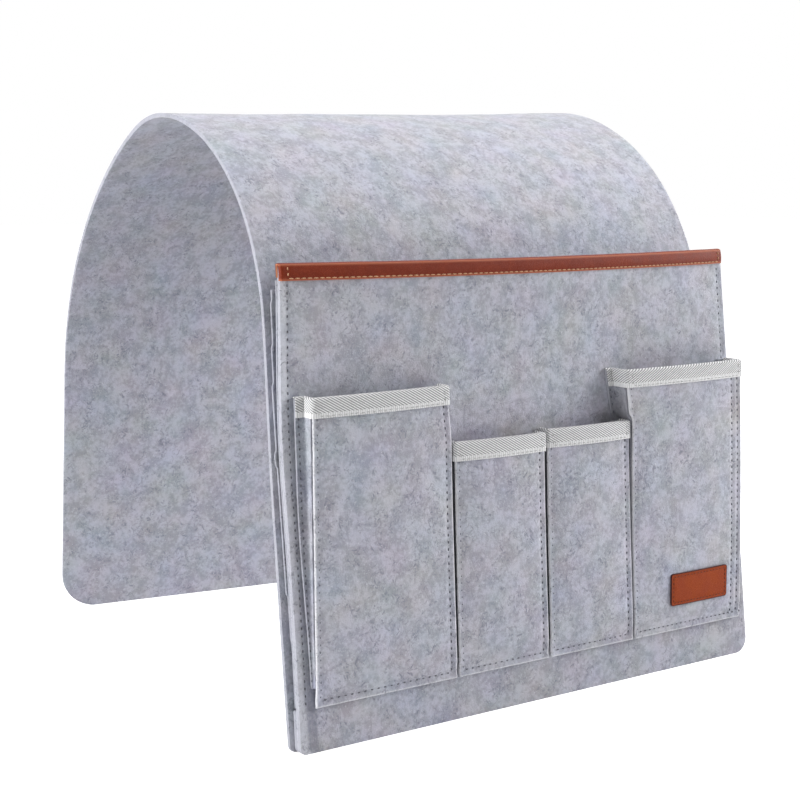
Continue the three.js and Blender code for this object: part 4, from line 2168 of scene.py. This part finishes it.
    def build(self) -> None:
        """Make the pocket's pieces."""
        self.bench.sheet(
            f"{self.name}_felt",
            self.front(),
            POCKET_FELT,
            [f"{self.name}_front"],
            "hung",
            ["main_pocket_felt"],
        )
        for side in Side:
            name = side.name.lower()
            self.bench.sheet(
                f"{self.name}_side_strip_{name}",
                self.gusset(side),
                self.size.folds if side is Side.LEFT else SOFT_SHADE_FELT,
                [f"{self.name}_gusset_{name}"],
                "folded",
                ["main_pocket_felt"],
            )
        self.bench.sheet(
            f"{self.name}_tape",
            self.binding(),
            self.size.tape,
            [f"{self.name}_binding"],
            "folded",
            [f"{self.name}_felt"],
            PALE_THREAD,
        )


@dataclass
class LeatherLabel:
    """The bare leather label on the phone pocket.

    Attributes:
        bench: Where it is made.
        pocket: The pocket that it is sewn to.
        width: Width of the label.
        height: Height of the label.
        thickness: Thickness of its leather.
        from_right: Distance from the pocket's right edge.
        from_bottom: Distance from the pocket's bottom edge.
        corner: Radius of its corners.
        margin: Distance of its stitches from its edge.
        thread: The thread that it is sewn with.
    """

    bench: Workbench
    pocket: SmallPocket
    width: float = 46.4
    height: float = 19.5
    thickness: float = 1.0
    from_right: float = 13.5
    from_bottom: float = 15.8
    corner: float = 1.8
    margin: float = 1.9
    thread: Thread = Thread(pitch=2.6, length=1.6, width=0.5, sink=0.22, reach=0.7)

    def surface(self, x: float, rise: float) -> Vector:
        """A point of the label's face.

        Args:
            x: Column, from the label's middle.
            rise: Distance from its lower edge.

        Returns:
            The point in millimetres.
        """
        pocket = self.pocket
        inset = corner_inset(min(rise, self.height - rise), self.corner)
        half = self.width / 2
        at = pocket.right - self.from_right - half + x * (half - inset) / half
        z = pocket.bottom + self.from_bottom + rise
        out = pocket.cavity(at, z) + pocket.felt + pocket.play + self.thickness
        return pocket.spot(at, z, out)

    def build(self) -> None:
        """Make the label and its stitches."""
        half = self.width / 2
        corner = corner_rows(self.corner, 5)
        top = [self.height - row for row in reversed(corner)]
        rows = [*corner, *spread(corner[-1], top[0], 0.9)[1:-1], *top]
        x, low, high = half - self.margin, self.margin, self.height - self.margin
        ends = (
            ((-x, low), (x, low)),
            ((-x, high), (x, high)),
            ((-x, low), (-x, high)),
            ((x, low), (x, high)),
        )
        seams = [Seam(start, end, self.thread) for start, end in ends]
        sheet = Sheet(
            columns=spread(-half, half, 0.9),
            rows=rows,
            surface=self.surface,
            thickness=self.thickness,
            rim=0.25,
            seams=seams,
        )
        self.bench.sheet(
            "label_leather",
            sheet,
            TAN_LEATHER,
            ["leather_label"],
            "laid",
            [f"{self.pocket.name}_felt"],
            DARK_THREAD,
        )


@dataclass(frozen=True)
class Lamp:
    """A soft box.

    Attributes:
        name: Its name.
        place: Where it stands, in metres.
        aim: What it points at.
        size: Width of the box.
        power: Its power in watts.
    """

    name: str
    place: Colour
    aim: Colour
    size: float
    power: float

    def build(self) -> None:
        """Put the lamp into the scene."""
        data = bpy.data.lights.new(self.name, "AREA")
        data.shape = "SQUARE"
        data.size = self.size
        data.energy = self.power
        obj = bpy.data.objects.new(self.name, data)
        obj.location = self.place
        direction = Vector(self.aim) - Vector(self.place)
        obj.rotation_euler = direction.to_track_quat("-Z", "Y").to_euler()
        bpy.context.scene.collection.objects.link(obj)


@dataclass
class Studio:
    """The pale floor, the soft light and the camera.

    Attributes:
        bench: Gives the place of the object in the scene.
        eye: The camera's place, in millimetres from the foot of the main pocket's front.
        yaw: Degrees that it is turned from +Y towards +X.
        pitch: Degrees that it looks down.
        lens: Focal length for a sensor 36 mm wide.
        fill: Brightness of the world.
        near_glow: Brightness that the floor adds for the camera beside the object.
        far_glow: Brightness that it adds further away.
    """

    bench: Workbench
    eye: Colour = (-529.8, -641.0, 284.4)
    yaw: float = 33.93
    pitch: float = 7.8
    lens: float = 68.06
    fill: float = 0.1
    near_glow: float = 0.70
    far_glow: float = 1.0
    lamps: tuple[Lamp, ...] = (
        Lamp("right_box", (1.5, -0.9, 0.8), (0.1, 0.0, 0.15), 1.2, 32.0),
        Lamp("top_box", (0.0, 0.2, 1.9), (0.0, 0.0, 0.2), 1.6, 29.0),
        Lamp("left_box", (-1.5, -0.02, 0.45), (0.0, 0.05, 0.15), 0.5, 20.0),
    )

    def build(self) -> None:
        """Set up everything round the object."""
        self.build_world()
        self.build_floor()
        self.build_camera()
        for lamp in self.lamps:
            lamp.build()
        bpy.context.scene.view_settings.view_transform = "Standard"

    @staticmethod
    def seen(graph: Graph) -> bpy.types.NodeSocket:
        """Tell the rays that see the backdrop from those that only light the object.

        Args:
            graph: The graph to add to.

        Returns:
            1 for rays from the camera and for reflected and transmitted ones, otherwise 0.
        """
        path = graph.add("ShaderNodeLightPath")
        rays = graph.math("MAXIMUM", path.outputs["Is Camera Ray"], path.outputs["Is Glossy Ray"])
        return graph.math("MAXIMUM", rays, path.outputs["Is Transmission Ray"])

    def build_world(self) -> None:
        """A white background that lights the object at a plain level."""
        world = bpy.data.worlds.new("studio")
        world.use_nodes = True
        world.node_tree.nodes.clear()
        graph = Graph(world.node_tree)
        strength = graph.add(
            "ShaderNodeMapRange", {0: self.seen(graph), 1: 0.0, 2: 1.0, 3: self.fill, 4: 1.0}
        )
        backdrop = graph.add(
            "ShaderNodeBackground", {0: (*WHITE, 1.0), 1: strength.outputs[0]}
        )
        graph.add("ShaderNodeOutputWorld", {0: backdrop.outputs[0]})
        bpy.context.scene.world = world

    def build_floor(self) -> None:
        """A wide white floor that keeps the object's shadow."""
        bm = bmesh.new()
        bmesh.ops.create_grid(bm, x_segments=1, y_segments=1, size=12.0)
        bmesh.ops.translate(bm, vec=(0, 0, -0.0002), verts=bm.verts[:])
        mesh = bpy.data.meshes.new("floor")
        bm.to_mesh(mesh)
        bm.free()
        material = bpy.data.materials.new("white_floor")
        material.use_nodes = True
        material.node_tree.nodes.clear()
        graph = Graph(material.node_tree)
        diffuse = graph.add("ShaderNodeBsdfDiffuse", {0: (0.82, 0.82, 0.82, 1.0)})
        spot = graph.add("ShaderNodeTexCoord").outputs["Object"]
        away = graph.add("ShaderNodeVectorMath", {0: spot}, operation="LENGTH").outputs[1]
        more = graph.blend(
            graph.ramp(away, 0.4, 2.0), self.far_glow - self.near_glow, self.near_glow
        )
        glow = graph.math("MULTIPLY", self.seen(graph), more)
        light = graph.add("ShaderNodeEmission", {0: (*WHITE, 1.0), 1: glow})
        both = graph.add("ShaderNodeAddShader", {0: diffuse.outputs[0], 1: light.outputs[0]})
        graph.add("ShaderNodeOutputMaterial", {0: both.outputs[0]})
        mesh.materials.append(material)
        floor = bpy.data.objects.new("floor", mesh)
        bpy.context.scene.collection.objects.link(floor)

    def build_camera(self) -> None:
        """The camera at the photograph's place and angle."""
        data = bpy.data.cameras.new("camera")
        data.sensor_width = 36.0
        data.lens = self.lens
        camera = bpy.data.objects.new("camera", data)
        camera.location = self.bench.place @ Vector(self.eye)
        camera.rotation_euler = (math.radians(90 - self.pitch), 0, -math.radians(self.yaw))
        bpy.context.scene.collection.objects.link(camera)
        bpy.context.scene.camera = camera


@dataclass(frozen=True)
class PocketRow:
    """The row of small pockets.

    Attributes:
        margin: Distance of the row from the main pocket's left edge.
        gap: Distance between two pockets.
        sizes: The sizes of each pocket, left to right.
    """

    margin: float = 11.0
    gap: float = 2.2
    sizes: tuple[PocketSize, ...] = (
        PocketSize(
            "wallet_pocket",
            85.5,
            159.0,
            10.0,
            flare=-3.0,
            droop=1.3,
            shifts=((-1.0, 0.0), (2.6, 0.0)),
            kick=2.2,
            folds=SOFT_SHADE_FELT,
        ),
        PocketSize(
            "remote_pocket", 62.0, 128.0, 9.5, shifts=((1.7, 1.5), (2.4, 1.0)), folds=DEEP_SHADE_FELT
        ),
        PocketSize(
            "small_remote_pocket",
            62.0,
            129.5,
            9.5,
            shifts=((1.6, 0.9), (2.2, 0.1)),
            folds=DEEP_SHADE_FELT,
        ),
        PocketSize(
            "phone_pocket",
            87.5,
            159.5,
            14.8,
            flare=4.0,
            flare_from=132.0,
            hop=2.3,
            hop_at=132.2,
            hollow=1.2,
            shifts=((1.4, -2.0), (0.5, -0.4)),
            swell=2.3,
            right_seams=(3.2, 8.6),
            flange=4.3,
            tape=RISING_TAPE,
        ),
    )

    def pockets(self, bench: Workbench) -> list[SmallPocket]:
        """The pockets in their places.

        Args:
            bench: Where their pieces are made.

        Returns:
            The pockets from left to right.
        """
        left = self.margin - bench.face.width / 2
        neighbour_top = 0.0
        found = []
        for number, size in enumerate(self.sizes):
            ends = number in (0, len(self.sizes) - 1)
            pocket = SmallPocket(bench, left, size, outward=ends, seed=11.0 + 7 * number)
            pocket.clear_of = neighbour_top + 2 * pocket.play + pocket.tape if ends else 0.0
            found.append(pocket)
            left += size.width + self.gap
            neighbour_top = pocket.top
        return found


def main() -> None:
    """Build every piece of the organizer and the studio round it."""
    logging.basicConfig(level=logging.INFO, format="%(message)s")
    bench = Workbench()
    strip = MainStrip(bench)
    strip.build()
    MainPocket(bench, strip).build()
    pockets = PocketRow().pockets(bench)
    for pocket in pockets:
        pocket.build()
    LeatherLabel(bench, pockets[-1]).build()
    Studio(bench).build()
    log.info("%d pieces", len(bench.made))


if __name__ == "__main__":
    main()
